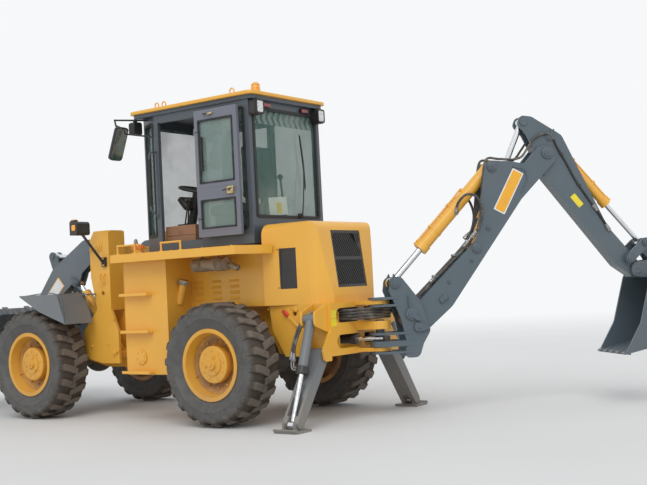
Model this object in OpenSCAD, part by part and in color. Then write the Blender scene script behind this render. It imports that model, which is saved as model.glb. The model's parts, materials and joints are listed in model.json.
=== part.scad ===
// Backhoe loader with an articulated frame: loader bucket in front, hoe behind, cab in the middle.
// Lengths are in millimetres. +X points forward, +Y to the machine's left and +Z up.
// Inside the modules X and Y start under the middle of the rear axle, and Z at the ground.
// placed() shifts every piece so that the stored origin is the middle of the whole machine's footprint.

/* [Wheels] */
// Distance between the axles
wheelbase = 2600; // [2560:10:2640]
// Tyre diameter over the lugs
tyre_d = 1164; // [1150:2:1170]
// Tyre width
tyre_w = 405; // [390:1:410]
// Middle of each tyre, sideways from the middle of the machine
wheel_y = 825; // [820:1:835]
// Rim diameter over its flanges
rim_d = 676; // [660:2:690]
// Lugs in each of a tyre's two rows
lug_count = 22; // [18:1:26]

/* [Frame] */
// Hinge between the two frame halves, ahead of the rear axle
hinge_x = 1300; // [1290:5:1310]
// Half the width of the rear frame box
box_y = 500; // [490:1:510]
// Rear face of the rear frame
frame_back = -1060; // [-1070:1:-1050]
// Height of the top of the frame
frame_top = 1100; // [1095:1:1105]

/* [Body] */
// Half the width of the hood at the cab
hood_y = 560; // [540:1:565]
// Height of the hood
hood_top = 1870; // [1850:5:1900]
// Half the width of the deck
deck_y = 1040; // [1000:5:1050]
// Top of the deck
deck_top = 1670; // [1668:1:1675]
// Depth of the deck's edge
deck_edge = 80; // [60:5:100]

/* [Cab] */
// Half the width of the cab
cab_y = 560; // [550:1:565]
// Rear wall of the cab
cab_back = -260; // [-270:1:-250]
// Front wall of the cab
cab_front = 1280; // [1250:1:1290]
// Start of the slanted front corners
cab_corner = 1000; // [990:1:1010]
// Half the width of the front wall
cab_nose_y = 430; // [400:1:440]
// Bottom of the cab
cab_bottom = 1700; // [1695:1:1705]
// Top of the cab walls
cab_top = 3080; // [3070:1:3090]
// Thickness of the cab walls
cab_wall = 40; // [35:1:45]
// Thickness of the window panes
pane = 6; // [5:1:8]

/* [Hoe] */
// Swing axis behind the rear axle
swing_x = -1260; // [-1265:1:-1255]
// How far the hoe is parked to the right, in degrees
swing_park = 45; // [40:1:50]
// Half the outer width of the boom
boom_y = 110; // [108:1:112]
// Half the outer width of the dipper
dipper_y = 80; // [78:1:82]
// Width of the hoe bucket
hoe_bucket_w = 620; // [560:10:660]

/* [Stabilizers] */
// Plane of the legs behind the rear axle
leg_x = -940; // [-945:1:-935]
// Width of a leg
leg_w = 170; // [160:2:174]

/* [Loader] */
// Width of the loader bucket
bucket_w = 2150; // [2100:10:2200]
// Middle of each lift arm, sideways
arm_y = 460; // [455:1:465]
// Thickness of a lift arm
arm_t = 100; // [90:2:104]

/* [Hidden] */
// Middle of the machine's footprint, from the point under the rear axle
centre_x = 610;
centre_y = -580;
tyre_r = tyre_d / 2;
rim_r = rim_d / 2;
axle_z = tyre_r;
front_x = wheelbase;
// Play between a pin and its eye, on the radius
play = 0.08;
$fn = 48;

// Colours
YELLOW = [0.88, 0.62, 0.2];
GREY = [0.36, 0.4, 0.43];
DARK = [0.2, 0.22, 0.24];
BLACK = [0.08, 0.08, 0.08];
STEEL = [0.8, 0.82, 0.84];
GLASS = [0.55, 0.68, 0.62];

// Pins of the hoe, as [radius from the swing axis, height]
boom_foot = [270, 960];
boom_rod = [130, 1250];
boom_cap = [1130, 2300];
dipper_cap = [940, 1540];
dipper_pin = [1685, 2412];
dipper_rod = [1480, 2720];
scoop_cap = [1730, 2570];
rocker_pin = [2440, 1370];
scoop_pin = [2520, 1260];
scoop_rod = [2610, 1520];
scoop_link = [2747, 1300];

// Pins of the loader, as [x, z]
arm_pivot = [1900, 1800];
lift_base = [1720, 660];
lift_eye = [2344, 1427];
bucket_pin = [3860, 600];
bucket_top_pin = [3540, 790];
crank_pivot = [3110, 1420];
cross_tube = [2850, 1200];
crank_top = [3273, 1763];
crank_low = [2990, 985];
tilt_base = [1930, 1700];

// Pins of the left stabilizer, as [y, z]
leg_pivot = [565, 640];
leg_base = [640, 970];
leg_foot = [980, 60];

// Pins of the left steering and swing cylinders, as [x, y, z]
steer_base = [850, 310, 770];
steer_eye = [1600, 310, 770];
swing_base = [-700, 170, 750];
swing_lever_r = 120;
swing_lever_angle = 75;

// Outline with rounded corners. Each corner is [x, y, radius].
function unit(v) = v / norm(v);
function arc_points(c, r, a0, a1, n) = [for (i = [0:n]) c + r * [cos(a0 + (a1 - a0) * i / n),
    sin(a0 + (a1 - a0) * i / n)]];
function turn(a) = a > 180 ? a - 360 : a < -180 ? a + 360 : a;
function corner_points(p, c, q) = c[2] == 0 ? [[c[0], c[1]]] :
    let (o = [c[0], c[1]], u = unit([p[0], p[1]] - o), v = unit([q[0], q[1]] - o),
        half = acos(u * v) / 2, mid = o + unit(u + v) * c[2] / sin(half),
        s = o + u * c[2] / tan(half) - mid, e = o + v * c[2] / tan(half) - mid,
        a0 = atan2(s[1], s[0]), da = turn(atan2(e[1], e[0]) - a0))
    arc_points(mid, c[2], a0, a0 + da, max(2, ceil(abs(da) / 18)));
function rounded(c) = [for (i = [0:len(c) - 1])
    each corner_points(c[(i + len(c) - 1) % len(c)], c[i], c[(i + 1) % len(c)])];
// Strap between two round ends
function strap(p, r, q, s) = let (d = q - p, a = atan2(d[1], d[0]), b = acos((r - s) / norm(d)))
    concat(arc_points(p, r, a + b, a + 360 - b, 12), arc_points(q, s, a - b, a + b, 12));

module placed() translate([-centre_x, -centre_y, 0]) children();
module mirrored(side) mirror([0, side < 0 ? 1 : 0, 0]) children();
module both_sides() for (side = [1, -1]) mirrored(side) children();
// A plate standing along X, its outline in X and Z, its middle at y
module plate(y, t) translate([0, y + t / 2, 0]) rotate([90, 0, 0]) linear_extrude(t) children();
// A plate standing across, its outline in Y and Z, its middle at x
module cross_plate(x, t) translate([x - t / 2, 0, 0]) rotate([90, 0, 90]) linear_extrude(t) children();
// A round bar along Y through the point p = [x, z], from y0 to y1
module bar(p, r, y0, y1) translate([p[0], y1, p[1]]) rotate([90, 0, 0]) cylinder(r = r, h = y1 - y0);
// The same bar on both sides of the middle
module bars(p, r, y0, y1) both_sides() bar(p, r, y0, y1);
module box(lo, hi) translate(lo) cube(hi - lo);
// The hoe's own plane: X is the radius from the swing axis and Y is sideways
module hoe_plane() translate([swing_x, 0, 0]) rotate([0, 0, 180 + swing_park]) children();
// Points the local Z axis from p to q, with local Y level
module aim(p, q) translate(p) rotate([0, acos((q - p)[2] / norm(q - p)), atan2((q - p)[1], (q - p)[0])])
    children();
// A round rod between two points
module rod(p, q, r) aim(p, q) cylinder(r = r, h = norm(q - p));
// A handle of round rod through its points, each bend a welded ball a little thicker than the rod
weld_swell = 1.5;
module handle(points, r) {
    for (i = [1:len(points) - 1]) rod(points[i - 1], points[i], r);
    for (i = [1:len(points) - 2]) translate(points[i]) sphere(r = r + weld_swell);
}
// Plate with rounded corners, drawn in its own plane
module pad(w, h, corner, t) linear_extrude(t) polygon(rounded([for (c = [[-1, -1], [1, -1], [1, 1], [-1, 1]])
    [c[0] * w / 2, c[1] * h / 2, corner]]));
function xz(p, y = 0) = [p[0], y, p[1]];
function yz(p, x) = [x, p[0], p[1]];

// Cylinder barrel from its base eye at p towards q. Its pins lie along local Y, or along local X when spun.
module barrel(p, q, r, length, rod_r, eye_r, eye_w, pin_r, spin = 0)
    aim(p, q) rotate([0, 0, spin]) difference() {
        union() {
            translate([0, 0, eye_r * 0.5]) cylinder(r = r, h = length - eye_r * 0.5);
            translate([0, 0, length - 70]) cylinder(r = r + 8, h = 70);
            rotate([90, 0, 0]) cylinder(r = eye_r, h = eye_w, center = true);
        }
        translate([0, 0, eye_r + 25]) cylinder(r = rod_r + 0.6, h = length);
        rotate([90, 0, 0]) cylinder(r = pin_r + play, h = eye_w + 2, center = true);
    }
// Piston rod with its eye at q and its other end towards p
module piston(p, q, length, rod_r, eye_r, eye_w, pin_r, spin = 0)
    aim(q, p) rotate([0, 0, spin]) difference() {
        union() {
            translate([0, 0, eye_r * 0.5]) cylinder(r = rod_r, h = length - eye_r * 0.5);
            rotate([90, 0, 0]) cylinder(r = eye_r, h = eye_w, center = true);
        }
        rotate([90, 0, 0]) cylinder(r = pin_r + play, h = eye_w + 2, center = true);
    }

// Rear frame: two rails with a narrow neck to the hinge, and a wide box behind that carries hoe and legs
rail_y = 300;
neck_y = 160;
// Tie-down holes through the outer plates of both frames, as [x, z]
rear_tie = [-650, 1020];
front_tie = [1850, 1300];
tie_r = 25;
module rail_outline() polygon([[frame_back, 630], [-300, 630], [-220, 800], [220, 800], [300, 640], [760, 560],
    [800, 560], [800, frame_top], [frame_back, frame_top]]);
module rear_frame() placed() color(YELLOW) difference() {
    union() {
        both_sides() {
            plate(rail_y, 24) rail_outline();
            plate(box_y - 12, 24) polygon([[frame_back, 620], [-520, 620], [-380, 860], [-350, frame_top],
                [frame_back, frame_top]]);
            plate(neck_y, 24) polygon(rounded([[800, 560, 0], [1040, 480, 60], [1180, 480, 0],
                [1180, frame_top, 0], [800, frame_top, 0]]));
            // Ribs that hold the leg and its cylinder
            for (x = [leg_x + leg_w / 2 + 20, leg_x - leg_w / 2 - 20]) cross_plate(x, 20)
                polygon(rounded([[box_y, 580, 0], [box_y + 110, 580, 40], [box_y + 130, 680, 40], [box_y, 860, 0]]));
            translate(yz(leg_pivot, leg_x)) rotate([0, 90, 0]) cylinder(r = 30, h = leg_w + 60, center = true);
            translate(yz(leg_base, leg_x)) rotate([0, 90, 0]) cylinder(r = 25, h = 170, center = true);
            for (x = [leg_x + 75, leg_x - 75]) cross_plate(x, 20)
                polygon(rounded([[box_y, frame_top, 0], [box_y, 840, 0], [leg_base[0] + 50, 905, 40],
                    [leg_base[0] + 50, 1030, 40]]));
        }
        box([frame_back, -box_y, frame_top - 20], [-350, box_y, frame_top]);
        box([frame_back, -box_y, 620], [frame_back + 25, box_y, frame_top]);
        box([-640, -rail_y, 640], [-615, rail_y, 850]);
        box([-640, -rail_y, 640], [-300, rail_y, 660]);
        box([770, -rail_y, 560], [800, rail_y, frame_top]);
        box([800, -neck_y, 560], [1090, neck_y, 580]);
        box([800, -neck_y, frame_top - 20], [1180, neck_y, frame_top]);
        box([-100, rail_y - 12, 700], [100, rail_y + 60, 800]);
        box([-100, -rail_y - 60, 700], [100, -rail_y + 12, 800]);
        // Hinge tongues
        for (z = [520, 1020]) translate([0, 0, z]) linear_extrude(60)
            polygon(rounded([[1100, -neck_y, 0], [hinge_x + 85, -85, 84], [hinge_x + 85, 85, 84], [1100, neck_y, 0]]));
        box([1140, -neck_y, 480], [1180, neck_y, frame_top]);
        // Lugs of the swing axis, as [bottom, thickness]
        for (lug = [[630, 35], [835, 75], [1065, 35]]) translate([0, 0, lug[0]]) linear_extrude(lug[1])
            polygon(rounded([[frame_back + 20, 98, 0], [swing_x - 100, 98, 96], [swing_x - 100, -98, 96],
                [frame_back + 20, -98, 0]]));
        // Ears of the swing cylinders
        for (z = [680, 800]) translate([0, 0, z]) linear_extrude(20)
            polygon([[-620, 240], [-740, 220], [-740, -220], [-620, -240]]);
        // Ears of the steering cylinders
        for (z = [705, 815]) translate([0, 0, z]) linear_extrude(20)
            polygon(rounded([[780, 350, 0], [890, 350, 35], [890, 265, 40], [850, neck_y, 0], [850, -neck_y, 0],
                [890, -265, 40], [890, -350, 35], [780, -350, 0]]));
        both_sides() {
            translate([swing_base[0], swing_base[1], 680]) cylinder(r = 20, h = 140);
            translate([steer_base[0], steer_base[1], 705]) cylinder(r = 18, h = 130);
        }
    }
    // Openings in the rear face for hoses and swing cylinders
    for (side = [1, -1], z = [[680, 806], [916, 1050]])
        mirrored(side) translate([frame_back - 20, 0, 0]) rotate([90, 0, 90]) linear_extrude(80)
            polygon(rounded([[30, z[0], 25], [410, z[0], 58], [410, z[1], 58], [30, z[1], 25]]));
    // Opening in the top plate for the engine
    box([-895, -250, frame_top - 40], [-340, 250, frame_top + 10]);
    translate([hinge_x, 0, 500]) cylinder(r = 45 + play, h = 600);
    translate([swing_x, 0, 600]) cylinder(r = 40 + play, h = 600);
    both_sides() bar(rear_tie, tie_r, box_y - 40, box_y + 20);
}

// Rear axle, gearbox, engine, radiator and silencer
module axle(x) translate([x, 0, axle_z]) {
    rotate([90, 0, 0]) cylinder(r = 80, h = 2 * (wheel_y - 220), center = true);
    sphere(r = 165);
    both_sides() {
        translate([0, wheel_y - 60, 0]) rotate([90, 0, 0]) cylinder(r1 = 150, r2 = 110, h = 160);
        translate([0, wheel_y + 80, 0]) rotate([90, 0, 0]) cylinder(r = 60, h = 200);
    }
}
module driveline() placed() color(DARK) {
    axle(0);
    both_sides() box([-90, 250, axle_z + 60], [90, 350, 700]);
    box([-880, -240, 860], [-140, 240, 1480]);
    both_sides() for (x = [-840, -240]) box([x, 230, 900], [x + 60, rail_y - 12, 960]);
    box([-80, -190, 810], [440, 190, 1090]);
    box([-140, -120, 880], [-80, 120, 1060]);
    box([-885, -270, frame_top], [-825, 270, 1700]);
    // Silencer under the left of the deck
    translate([180, 700, 1520]) rotate([0, 90, 0]) cylinder(r = 65, h = 420, center = true);
    for (x = [90, 290]) {
        translate([x, 700, 1520]) rotate([0, 90, 0]) cylinder(r = 70, h = 18, center = true);
        box([x - 9, 688, 1580], [x + 9, 712, deck_top - 20]);
    }
    handle([[40, 700, 1500], [-90, 700, 1500], [-150, 700, 1470]], 28);
    translate([180, 575, 1520]) rotate([90, 0, 0]) cylinder(r = 28, h = 130, center = true);
}

// Hood: one shell, tapered in plan, leaning at the back and round at its top corners
module hood_form(inset) intersection() {
    translate([0, 0, frame_top - 1]) linear_extrude(900) polygon(rounded([
        [-345, hood_y - inset, 0], [-900, hood_y - 90 - inset, 160], [-990 + inset, 330 - inset, 60],
        [-990 + inset, -330 + inset, 60], [-900, -hood_y + 90 + inset, 160], [-345, -hood_y + inset, 0]]));
    plate(0, 1300) polygon(rounded([[-300, frame_top - 10, 0], [-300, hood_top - inset, 0],
        [-905 + inset, hood_top - inset, 90], [-1000 + inset, frame_top - 10, 0]]));
    cross_plate(-650, 900) polygon(rounded([
        [-hood_y + inset, frame_top - 10, 0], [-hood_y + inset, hood_top - inset, 110],
        [hood_y - inset, hood_top - inset, 110], [hood_y - inset, frame_top - 10, 0]]));
}
module hood() placed() color(YELLOW) difference() {
    hood_form(0);
    translate([2, 0, -30]) hood_form(20);
    box([-1200, -900, 1000], [-300, 900, frame_top]);
    box([-1100, -240, 1240], [-900, 240, 1780]);
    both_sides() box([-700, 400, 1250], [-520, 600, 1630]);
}
slot_pitch = 34;
slot_w = 20;
module grilles() placed() color(BLACK) {
    difference() {
        intersection() {
            hood_form(5);
            box([-1100, -240, 1240], [-901, 240, 1780]);
        }
        translate([12, 0, 0]) hood_form(5);
        // Slanted slots above and below the middle bar
        intersection() {
            cross_plate(-950, 200) for (row = [[1265, 1500], [1530, 1755]])
                polygon([[-215, row[0]], [215, row[0]], [215, row[1]], [-215, row[1]]]);
            cross_plate(-950, 200) for (y = [-400:slot_pitch:300])
                polygon([[y, 1250], [y + slot_w, 1250], [y + slot_w + 290, 1760], [y + 290, 1760]]);
        }
    }
    // Side vents: a frame round a sunk panel
    both_sides() difference() {
        intersection() {
            hood_form(5);
            box([-700, 400, 1250], [-520, 600, 1630]);
        }
        hood_form(15);
        intersection() {
            hood_form(-5);
            plate(550, 200) polygon(rounded([[-685, 1275, 25], [-535, 1275, 25], [-535, 1610, 10],
                [-685, 1610, 10]]));
            difference() {
                hood_form(-5);
                hood_form(10);
            }
        }
    }
}

// Deck across the machine, with skirts under the cab
module deck() placed() color(YELLOW) {
    difference() {
        translate([0, 0, deck_top - deck_edge]) linear_extrude(deck_edge) polygon([[1215, -deck_y], [1215, deck_y],
            [-420, deck_y], [-480, hood_y + 15], [-340, hood_y + 5], [-340, -hood_y - 5], [-480, -hood_y - 15],
            [-420, -deck_y]]);
        translate([0, 0, deck_top - deck_edge - 20]) linear_extrude(deck_edge) polygon([[1200, -deck_y + 12],
            [1200, deck_y - 12], [-408, deck_y - 12], [-455, hood_y + 27], [-320, hood_y + 20],
            [-320, -hood_y - 20], [-455, -hood_y - 27], [-408, -deck_y + 12]]);
    }
    both_sides() {
        difference() {
            box([-340, 515, frame_top], [610, 530, deck_top - 20]);
            translate([180, 560, 1520]) rotate([90, 0, 0]) cylinder(r = 30, h = 100, center = true);
        }
        box([-340, rail_y - 12, frame_top], [610, 530, frame_top + 12]);
        // Louvres of the engine bay
        for (x = [40, 275, 510], z = [1140:55:1360]) cross_plate(x, 110)
            polygon([[529, z - 14], [545, z - 14], [529, z + 14]]);
    }
    // Grab handles, as [rear end, front end, y]
    for (grab = [[895, 1135, 1005], [335, 590, 950]]) handle([
        [grab[0], grab[2], deck_top - 5], [grab[0], grab[2], deck_top + 85],
        [grab[1], grab[2], deck_top + 85], [grab[1], grab[2], deck_top - 5]], 10);
    // Oil filler on the left of the deck
    translate([1020, 840, deck_top - 10]) cylinder(r = 45, h = 60);
    translate([1020, 840, deck_top + 50]) cylinder(r = 62, h = 35);
}
// Tanks in front of the rear wheels, with the steps
module tanks() placed() color(YELLOW) {
    both_sides() {
        translate([612, 0, 0]) rotate([90, 0, 90]) linear_extrude(586) polygon(rounded([[535, deck_top - 20, 0],
            [535, 475, 14], [880, 475, 14], [880, deck_top - 20, 0]]));
        // Steps, each a tray with a turned-up edge
        for (z = [490, 890, 1255]) {
            box([812, 878, z], [1198, 960, z + 8]);
            box([812, 952, z], [1198, 960, z + 28]);
        }
        box([700, rail_y + 12, 640], [760, 535, 1000]);
        // Cleaning flange
        translate([990, 878, 650]) rotate([-90, 0, 0]) cylinder(r = 72, h = 12);
    }
    // Fuel filler: a slanted neck behind the left tank
    aim([620, 700, 1160], [545, 700, 1390]) {
        cylinder(r = 38, h = 200);
        translate([0, 0, 195]) cylinder(r = 46, h = 45);
    }
}

// Cab: one hollow shell with its floor, and the windows and doorway cut through
module cab_outline(inset) polygon([[cab_back + inset, -cab_y + inset], [cab_back + inset, cab_y - inset],
    [cab_corner - inset * 0.22, cab_y - inset], [cab_front - inset, cab_nose_y - inset * 0.64],
    [cab_front - inset, -cab_nose_y + inset * 0.64], [cab_corner - inset * 0.22, -cab_y + inset]]);
// Windows: the walls' openings, as blocks of depth d about the wall's middle
corner_angle = atan2(cab_y - cab_nose_y, cab_front - cab_corner);
module corner_window(d) translate([(cab_corner + cab_front) / 2, (cab_y + cab_nose_y) / 2, 0])
    rotate([0, 0, -corner_angle]) box([-100, -cab_wall / 2 - d / 2, 1860], [100, -cab_wall / 2 + d / 2, 3000]);
module side_window(d) box([-190, cab_y - cab_wall / 2 - d / 2, 1860], [340, cab_y - cab_wall / 2 + d / 2, 3000]);
module door_side_window(d) box([400, -cab_y + cab_wall / 2 - d / 2, 1860],
    [950, -cab_y + cab_wall / 2 + d / 2, 3000]);
module front_window(d) box([cab_front - cab_wall / 2 - d / 2, -370, 1800],
    [cab_front - cab_wall / 2 + d / 2, 370, 3000]);
module rear_window(d) box([cab_back + cab_wall / 2 - d / 2, -490, 1960],
    [cab_back + cab_wall / 2 + d / 2, 490, 3000]);
module windows(d) {
    both_sides() {
        corner_window(d);
        side_window(d);
    }
    door_side_window(d);
    front_window(d);
    rear_window(d);
}
mirror_y = 750;
module cab_frame() placed() color(DARK) difference() {
    union() {
        difference() {
            translate([0, 0, cab_bottom]) linear_extrude(cab_top - cab_bottom) cab_outline(0);
            translate([0, 0, cab_bottom + 40]) linear_extrude(cab_top) cab_outline(cab_wall);
        }
        both_sides() for (x = [-200, 900]) box([x, 350, deck_top], [x + 100, 450, cab_bottom]);
        // Handrail on the front corner post, with a slanted lower end
        handle([[985, cab_y - 10, 2710], [1005, cab_y + 50, 2710], [1030, cab_y + 60, 2670], [1030, cab_y + 60, 2120],
            [985, cab_y - 10, 2020]], 11);
    }
    windows(100);
    box([400, cab_y - 100, 1780], [950, cab_y + 50, 3000]);
}
module cab_glass() placed() color(GLASS) windows(pane);
module cab_roof() placed() color(YELLOW) difference() {
    translate([0, 0, cab_top]) linear_extrude(90) polygon(rounded([[-340, -610, 70], [-340, 610, 70],
        [1320, 610, 70], [1320, -610, 70]]));
    // Turned edge under the rim
    translate([0, 0, cab_top - 10]) linear_extrude(30) difference() {
        square(4000, center = true);
        polygon([[-322, -592], [-322, 592], [1302, 592], [1302, -592]]);
    }
    translate([0, 0, cab_top - 10]) linear_extrude(40) cab_outline(60);
}
module seat() placed() color(BLACK) {
    box([120, -250, 2020], [620, 250, 2140]);
    box([60, -240, 2150], [170, 240, 2720]);
}
module controls() placed() color(BLACK) {
    box([180, -180, cab_bottom + 40], [560, 180, 2020]);
    box([15, -60, 1985], [200, 60, 2015]);
    box([15, -60, 1985], [55, 60, 2300]);
    box([1060, -70, cab_bottom + 40], [1180, 70, cab_bottom + 60]);
    aim([1120, 0, cab_bottom + 54], [960, 0, 2330]) cylinder(r = 45, h = 616);
    aim([1120, 0, cab_bottom + 30], [960, 0, 2330]) translate([0, 0, 630]) rotate_extrude()
        translate([190, 0]) polygon(arc_points([0, 0], 16, 0, 315, 7));
    aim([1120, 0, cab_bottom + 30], [960, 0, 2330]) for (a = [90, 210, 330]) rotate([0, 0, a])
        translate([0, 0, 630]) rotate([0, 90, 0]) cylinder(r = 11, h = 190);
    both_sides() box([-150, 100, cab_bottom + 40], [-90, 160, cab_bottom + 60]);
    both_sides() aim([-120, 130, cab_bottom + 45], [-60, 130, 2400]) {
        cylinder(r = 12, h = 640);
        translate([0, 0, 640]) sphere(r = 30);
    }
}
module cab_lamps() placed() color(BLACK) {
    // Mirrors, their brackets seated on the cab's outer face
    both_sides() difference() {
        union() {
            handle([[1180, 465, 3068], [1370, mirror_y, 3068], [1355, mirror_y, 3010], [1260, mirror_y, 2970]], 9);
            handle([[1030, 535, 2870], [1330, mirror_y, 2930]], 9);
            translate([1330, mirror_y, 2820]) rotate([0, -22, 0]) rotate([90, 0, 90]) translate([0, 0, -17])
                pad(165, 350, 35, 34);
        }
        translate([0, 0, cab_bottom]) linear_extrude(cab_top - cab_bottom) cab_outline(0);
    }
    both_sides() {
        // Rear work lamps: housing, lens and bracket
        translate([-340, 490, 3000]) rotate([90, 0, 90]) {
            pad(124, 150, 28, 80);
            translate([0, 0, -6]) pad(100, 124, 20, 8);
        }
        box([-300, 470, 3060], [cab_back, 510, cab_top]);
        // Front work lamps
        translate([1236, 550, 2985]) rotate([90, 0, 90]) {
            pad(110, 130, 24, 70);
            translate([0, 0, 68]) pad(92, 110, 18, 8);
        }
        box([1276, 530, 3045], [1300, 560, cab_top]);
        // Rear and stop lamps
        translate([-280, 300, 3040]) rotate([90, 0, 90]) pad(110, 44, 10, 20);
    }
    // Beacon
    translate([-150, 300, cab_top + 90]) rotate_extrude() polygon(rounded([[0, 0, 0], [58, 0, 0], [58, 20, 0],
        [46, 26, 0], [44, 85, 0], [26, 110, 0], [0, 112, 0]]));
}

// Front frame: neck with forks round the tongues, rails and the two towers
tower_gap = 170;
tower_t = 30;
module tower_outline() polygon(rounded([[1640, 560, 0], [1640, 900, 0], [1735, 1120, 0], [1735, 1965, 20],
    [1960, 1965, 0], [2030, 1860, 0], [2030, 1480, 0], [1950, 1130, 0], [2180, 900, 0], [2180, 620, 60],
    [1900, 560, 0]]));
module front_rail_outline() polygon(rounded([[1560, 500, 0], [1560, 960, 0], [2180, 860, 0], [2800, 735, 0],
    [2820, 650, 0], [2760, 640, 0], [2700, 700, 0], [2500, 700, 0], [2380, 560, 0], [2100, 500, 0]]));
module front_frame() placed() color(YELLOW) difference() {
    union() {
        both_sides() {
            for (s = [1, -1]) plate(arm_y + s * (tower_gap + tower_t) / 2, tower_t) tower_outline();
            plate(rail_y, 24) front_rail_outline();
            plate(neck_y, 24) polygon([[1420, 500], [1620, 500], [1620, 1080], [1420, 1080]]);
            box([1735, arm_y - tower_gap / 2, 1120], [1750, arm_y + tower_gap / 2, 1965]);
            box([1735, arm_y - tower_gap / 2, 1950], [1800, arm_y + tower_gap / 2, 1965]);
            box([1640, arm_y - tower_gap / 2, 860], [1655, arm_y + tower_gap / 2, 900]);
            box([2140, arm_y - tower_gap / 2, 640], [2180, arm_y + tower_gap / 2, 860]);
            box([2500, rail_y - 12, 700], [2700, rail_y + 60, 720]);
        }
        box([1560, -arm_y + 60, 500], [1590, arm_y - 60, 960]);
        box([1590, -arm_y + 70, 760], [1660, arm_y - 70, 900]);
        box([2120, -arm_y + 90, 620], [2180, arm_y - 90, 860]);
        bar([2785, 694], 28, -rail_y, rail_y);
        // Beam between the towers that carries the tilt cylinder
        box([1825, -arm_y + 90, 1560], [1865, arm_y - 90, 1800]);
        for (s = [1, -1]) plate(s * 74, 24) polygon(rounded([[1860, 1600, 0], [1960, 1630, 40],
            [1985, 1750, 40], [1860, 1800, 0]]));
        bar(tilt_base, 25, -86, 86);
        both_sides() bar(lift_base, 25, arm_y - 110, arm_y + 110);
        // Forks of the hinge
        for (z = [472, 585, 972, 1085]) translate([0, 0, z]) linear_extrude(42)
            polygon(rounded([[1430, -neck_y, 0], [hinge_x - 80, -80, 79], [hinge_x - 80, 80, 79], [1430, neck_y, 0]]));
        translate([hinge_x, 0, 462]) cylinder(r = 45, h = 175);
        translate([hinge_x, 0, 962]) cylinder(r = 45, h = 175);
        box([1420, -neck_y, 472], [1445, neck_y, 1127]);
        for (z = [703, 817]) translate([0, 0, z]) linear_extrude(20) both_sides() polygon(rounded([[1660, 362, 0],
            [1558, 362, 50], [1558, 258, 50], [1660, 258, 0]]));
        // Pins of the steering cylinders, open in the middle where the rod's eye turns
        both_sides() for (z = [721, 794]) translate([steer_eye[0], steer_eye[1], z]) cylinder(r = 18, h = 25);
    }
    // Room for the eyes of the steering rods
    both_sides() difference() {
        box([1500, 228, 723], [1690, 392, 817]);
        for (z = [721, 794]) translate([steer_eye[0], steer_eye[1], z]) cylinder(r = 18, h = 25);
    }
    both_sides() {
        bar(arm_pivot, 40 + play, 300, 620);
        bar(front_tie, tie_r, arm_y + 60, arm_y + 150);
    }
}
module front_axle() placed() color(DARK) {
    axle(front_x);
    both_sides() box([2520, 250, axle_z + 60], [2680, 350, 700]);
}
module front_fenders() placed() color(GREY) both_sides() {
    plate(1024, 12) polygon([[2660, 1305], [2050, 1305], [1940, 1000], [2350, 1140]]);
    box([2050, 655, 1305], [2660, 1030, 1317]);
    plate(842.5, 375) polygon([[2050, 1305], [1940, 1000], [1953, 996], [2063, 1305]]);
    box([1960, 575, 1290], [2300, 700, 1305]);
}
module headlamps() placed() color(BLACK) both_sides() {
    difference() {
        box([1830, 720, 1920], [1960, 900, 2060]);
        plate(810, 200) polygon([[1800, 1900], [1875, 1900], [1850, 1940], [1850, 2040], [1890, 2080], [1800, 2080]]);
    }
    translate([1958, 785, 1990]) rotate([0, 90, 0]) cylinder(r = 58, h = 12);
    box([1880, 850, 2058], [1950, 895, 2076]);
    rod([1800, 600, 1620], [1880, 800, 1925], 14);
    box([1770, 575, 1580], [1830, 600, 1680]);
}

// Wheel: local Z is the axle, pointing outwards
bead_r = 306;
module rim_form() rotate_extrude() polygon([[60 + play, -40], [160, -40], [160, -5], [292, 10], [292, -165], [rim_r, -165],
        [rim_r, -152], [bead_r, -152], [bead_r, 152], [rim_r, 152], [rim_r, 165], [300, 165], [272, 60], [178, 25],
        [174, 104], [160, 116], [104, 116], [100, 128], [52, 128], [42, 150], [0, 150], [0, 90], [60 + play, 90]]);
// Tyre with lugs that run from each shoulder over the middle, the two rows half a pitch apart
lug_h = 28;
facets = 36;
bead_y = 151.5;
wall_y = tyre_w / 2;
shoulder_r = 525;
module disc(r, h) cylinder(r = r, h = h, center = true, $fn = facets);
module ring_of_facets(r) polygon([for (i = [0:facets - 1]) r * [cos(i * 360 / facets), sin(i * 360 / facets)]]);
module tyre_form(side) {
    difference() {
        hull() {
            disc(tyre_r - lug_h, 2 * (wall_y - 50));
            disc(shoulder_r, 2 * (wall_y - 8));
            disc(450, 2 * wall_y);
        }
        translate([0, 0, -300]) linear_extrude(600) ring_of_facets(bead_r + 1.5);
        for (s = [1, -1]) mirror([0, 0, s < 0 ? 1 : 0]) hull() {
            translate([0, 0, bead_y + 1]) disc(rim_r + 4, 2);
            translate([0, 0, wall_y + 2]) disc(455, 2);
        }
    }
    mirrored(side) for (half = [1, -1], i = [0:lug_count - 1]) rotate([0, 0, (i + half / 4) * 360 / lug_count])
        mirror([0, 0, half < 0 ? 1 : 0]) translate([500, 0, 0]) rotate([90, 0, 90]) lug();
}
// A lug, drawn along the wheel's turn (X) and across the tread (Y), and leaning back at the shoulder
module lug() intersection() {
    linear_extrude(tyre_r - 504) polygon([[-44, wall_y - 2], [32, wall_y - 2], [66, -20], [-10, -20]]);
    translate([100, 0, 0]) rotate([0, -90, 0]) linear_extrude(200) polygon([[0, -20], [tyre_r - 500, -20],
        [tyre_r - 500, wall_y - 42], [40, wall_y - 2], [0, wall_y - 2]]);
}
module at_wheel(x, side) placed() translate([x, side * wheel_y, axle_z]) rotate([-90 * side, 0, 0]) children();
module rim_rear_left() at_wheel(0, 1) color(YELLOW) rim_form();
module tyre_rear_left() at_wheel(0, 1) color(BLACK) tyre_form(1);
module rim_rear_right() at_wheel(0, -1) color(YELLOW) rim_form();
module tyre_rear_right() at_wheel(0, -1) color(BLACK) tyre_form(-1);
module rim_front_left() at_wheel(front_x, 1) color(YELLOW) rim_form();
module tyre_front_left() at_wheel(front_x, 1) color(BLACK) tyre_form(1);
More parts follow.
